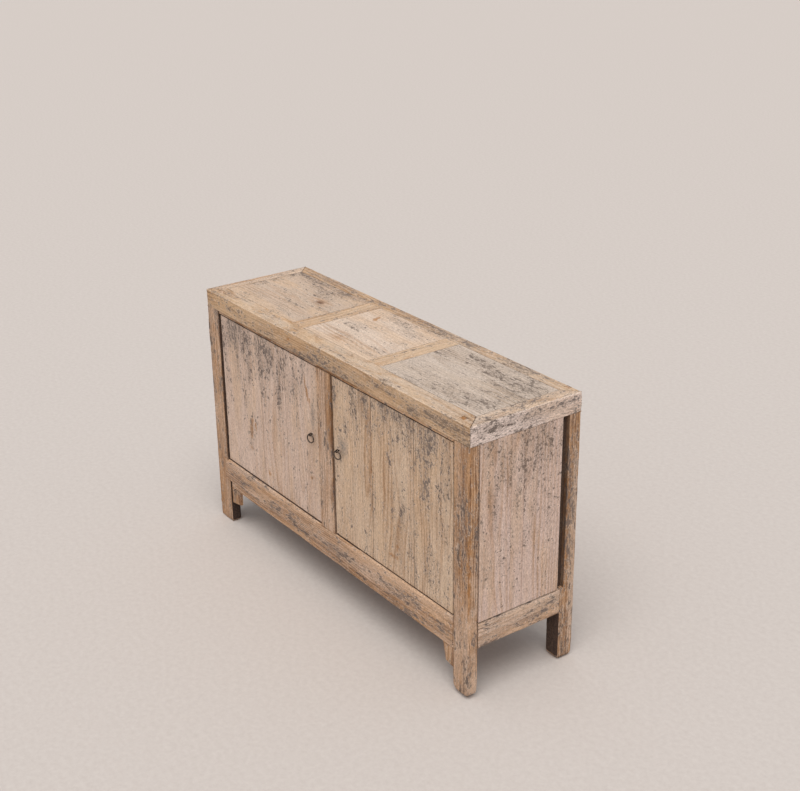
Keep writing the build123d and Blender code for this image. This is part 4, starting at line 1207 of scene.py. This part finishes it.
def washer(door, x):
    """Model the washer: a thin disc with a bevelled, hammered rim."""
    bpy.ops.object.select_all(action="DESELECT")
    bpy.ops.mesh.primitive_cylinder_add(
        vertices=56, radius=WASHER_RADIUS * MM, depth=WASHER_DEPTH * MM, rotation=(math.pi / 2, 0, 0),
        location=(x * MM, (DOOR_FRONT - WASHER_DEPTH / 2) * MM, RING_Z * MM), end_fill_type="TRIFAN",
    )
    disc = name_new(door + "_washer_forged")
    outer_face = on_plane(1, DOOR_FRONT - WASHER_DEPTH)

    def on_rim(points):
        return outer_face(points) and all(
            abs(math.hypot(p.x - x, p.z - RING_Z) - WASHER_RADIUS) < 0.1 for p in points
        )

    edit(disc, "EDGE", on_rim, bpy.ops.mesh.bevel, offset=0.6 * MM, segments=3, affect="EDGES")
    edit(disc, "FACE", lambda points: True, bpy.ops.mesh.subdivide, number_cuts=3)
    press_in(disc, hammered, HAMMER_DEPTH)
    finish_piece(disc, door + "_door_pull_washer", door + "_door", "pull_iron", washed_iron)


for door, place in SIDES:
    for pull_part in (hanging_ring, split_pin, washer):
        pull_part(door, place * RING_X)

# ---- Pieces inside keep their CAD shapes, in unwashed elm along their longest side
for name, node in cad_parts.items():
    if not node.hide_render:
        low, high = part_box(name)
        size = high - low
        node.data.materials.clear()
        node.data.materials.append(raw_elm[max(range(3), key=lambda axis: size[axis])])

for guide in grain_guides.values():
    bpy.data.objects.remove(guide)

# ---- Floor, light and camera
# The floor is fine, matt plaster, a little mottled, so that the cabinet's soft shadow shows on it.
plaster, add = new_material("pale matt plaster floor")
spot = add("TexCoord", {}, "Object")
mottle = add("TexNoise", {"Vector": spot, "Scale": 60.0, "Detail": 5.0, "Roughness": 0.7}, "Fac")
colour = add("ValToRGB", [mottle], stops=[(0.3, "#c3bbb6"), (0.7, "#cdc6c1")])
skin = add("BsdfPrincipled", {"Base Color": colour, "Roughness": 0.9})
add("OutputMaterial", {"Surface": skin})
bpy.ops.object.select_all(action="DESELECT")
bpy.ops.mesh.primitive_plane_add(size=60, location=(0, 0, -0.0002))
floor = bpy.context.object
floor.name = "studio_floor"
floor.data.materials.append(plaster)
floor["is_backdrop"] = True

softbox = bpy.data.lights.new("overhead_softbox", "SUN")
softbox.angle = math.radians(46)
softbox.energy = 2.1
softbox.color = linear("#fffaf5")[:3]
lamp = bpy.data.objects.new("overhead_softbox", softbox)
bpy.context.scene.collection.objects.link(lamp)
lamp.rotation_euler = (math.radians(25), 0, math.radians(45))

# The world lights the cabinet evenly, and looks like the floor where it is seen.
world = bpy.data.worlds.new("studio")
bpy.context.scene.world = world
world.use_nodes = True
world.node_tree.nodes.clear()
add = partial(add_node, world.node_tree)
backdrop = add("Background", {"Color": "#d6cdc7", "Strength": 1.0})
ambient = add("Background", {"Color": "#f4f5f7", "Strength": 0.6})
direct = add("LightPath", {}, "Is Camera Ray")
for kind in ("Is Glossy Ray", "Is Transmission Ray"):
    direct = add("Math", [direct, add("LightPath", {}, kind)], operation="MAXIMUM")
add("OutputWorld", {"Surface": add("MixShader", [direct, ambient, backdrop])})

CAMERA_PLACE = (3.1964, -2.2052, 2.3145)
CAMERA_TURN, CAMERA_DOWN, CAMERA_ROLL = 54.28, 23.262, -0.764
CAMERA_FOCUS, IMAGE_WIDTH = 1375.8, 800.0
SENSOR = 36.0
camera_data = bpy.data.cameras.new("camera")
camera_data.sensor_width = SENSOR
camera_data.lens = CAMERA_FOCUS / IMAGE_WIDTH * SENSOR
camera = bpy.data.objects.new("camera", camera_data)
bpy.context.scene.collection.objects.link(camera)
aim = (
    Matrix.Rotation(math.radians(CAMERA_TURN), 3, "Z")
    @ Matrix.Rotation(math.radians(90 - CAMERA_DOWN), 3, "X")
    @ Matrix.Rotation(math.radians(CAMERA_ROLL), 3, "Z")
)
camera.location = CAMERA_PLACE
camera.rotation_euler = aim.to_euler()
bpy.context.scene.camera = camera
bpy.context.scene.view_settings.view_transform = "Standard"

boxes = {"cad": cad_box, "visual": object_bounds()}
{name: [list(corner) for corner in box] for name, box in boxes.items()}
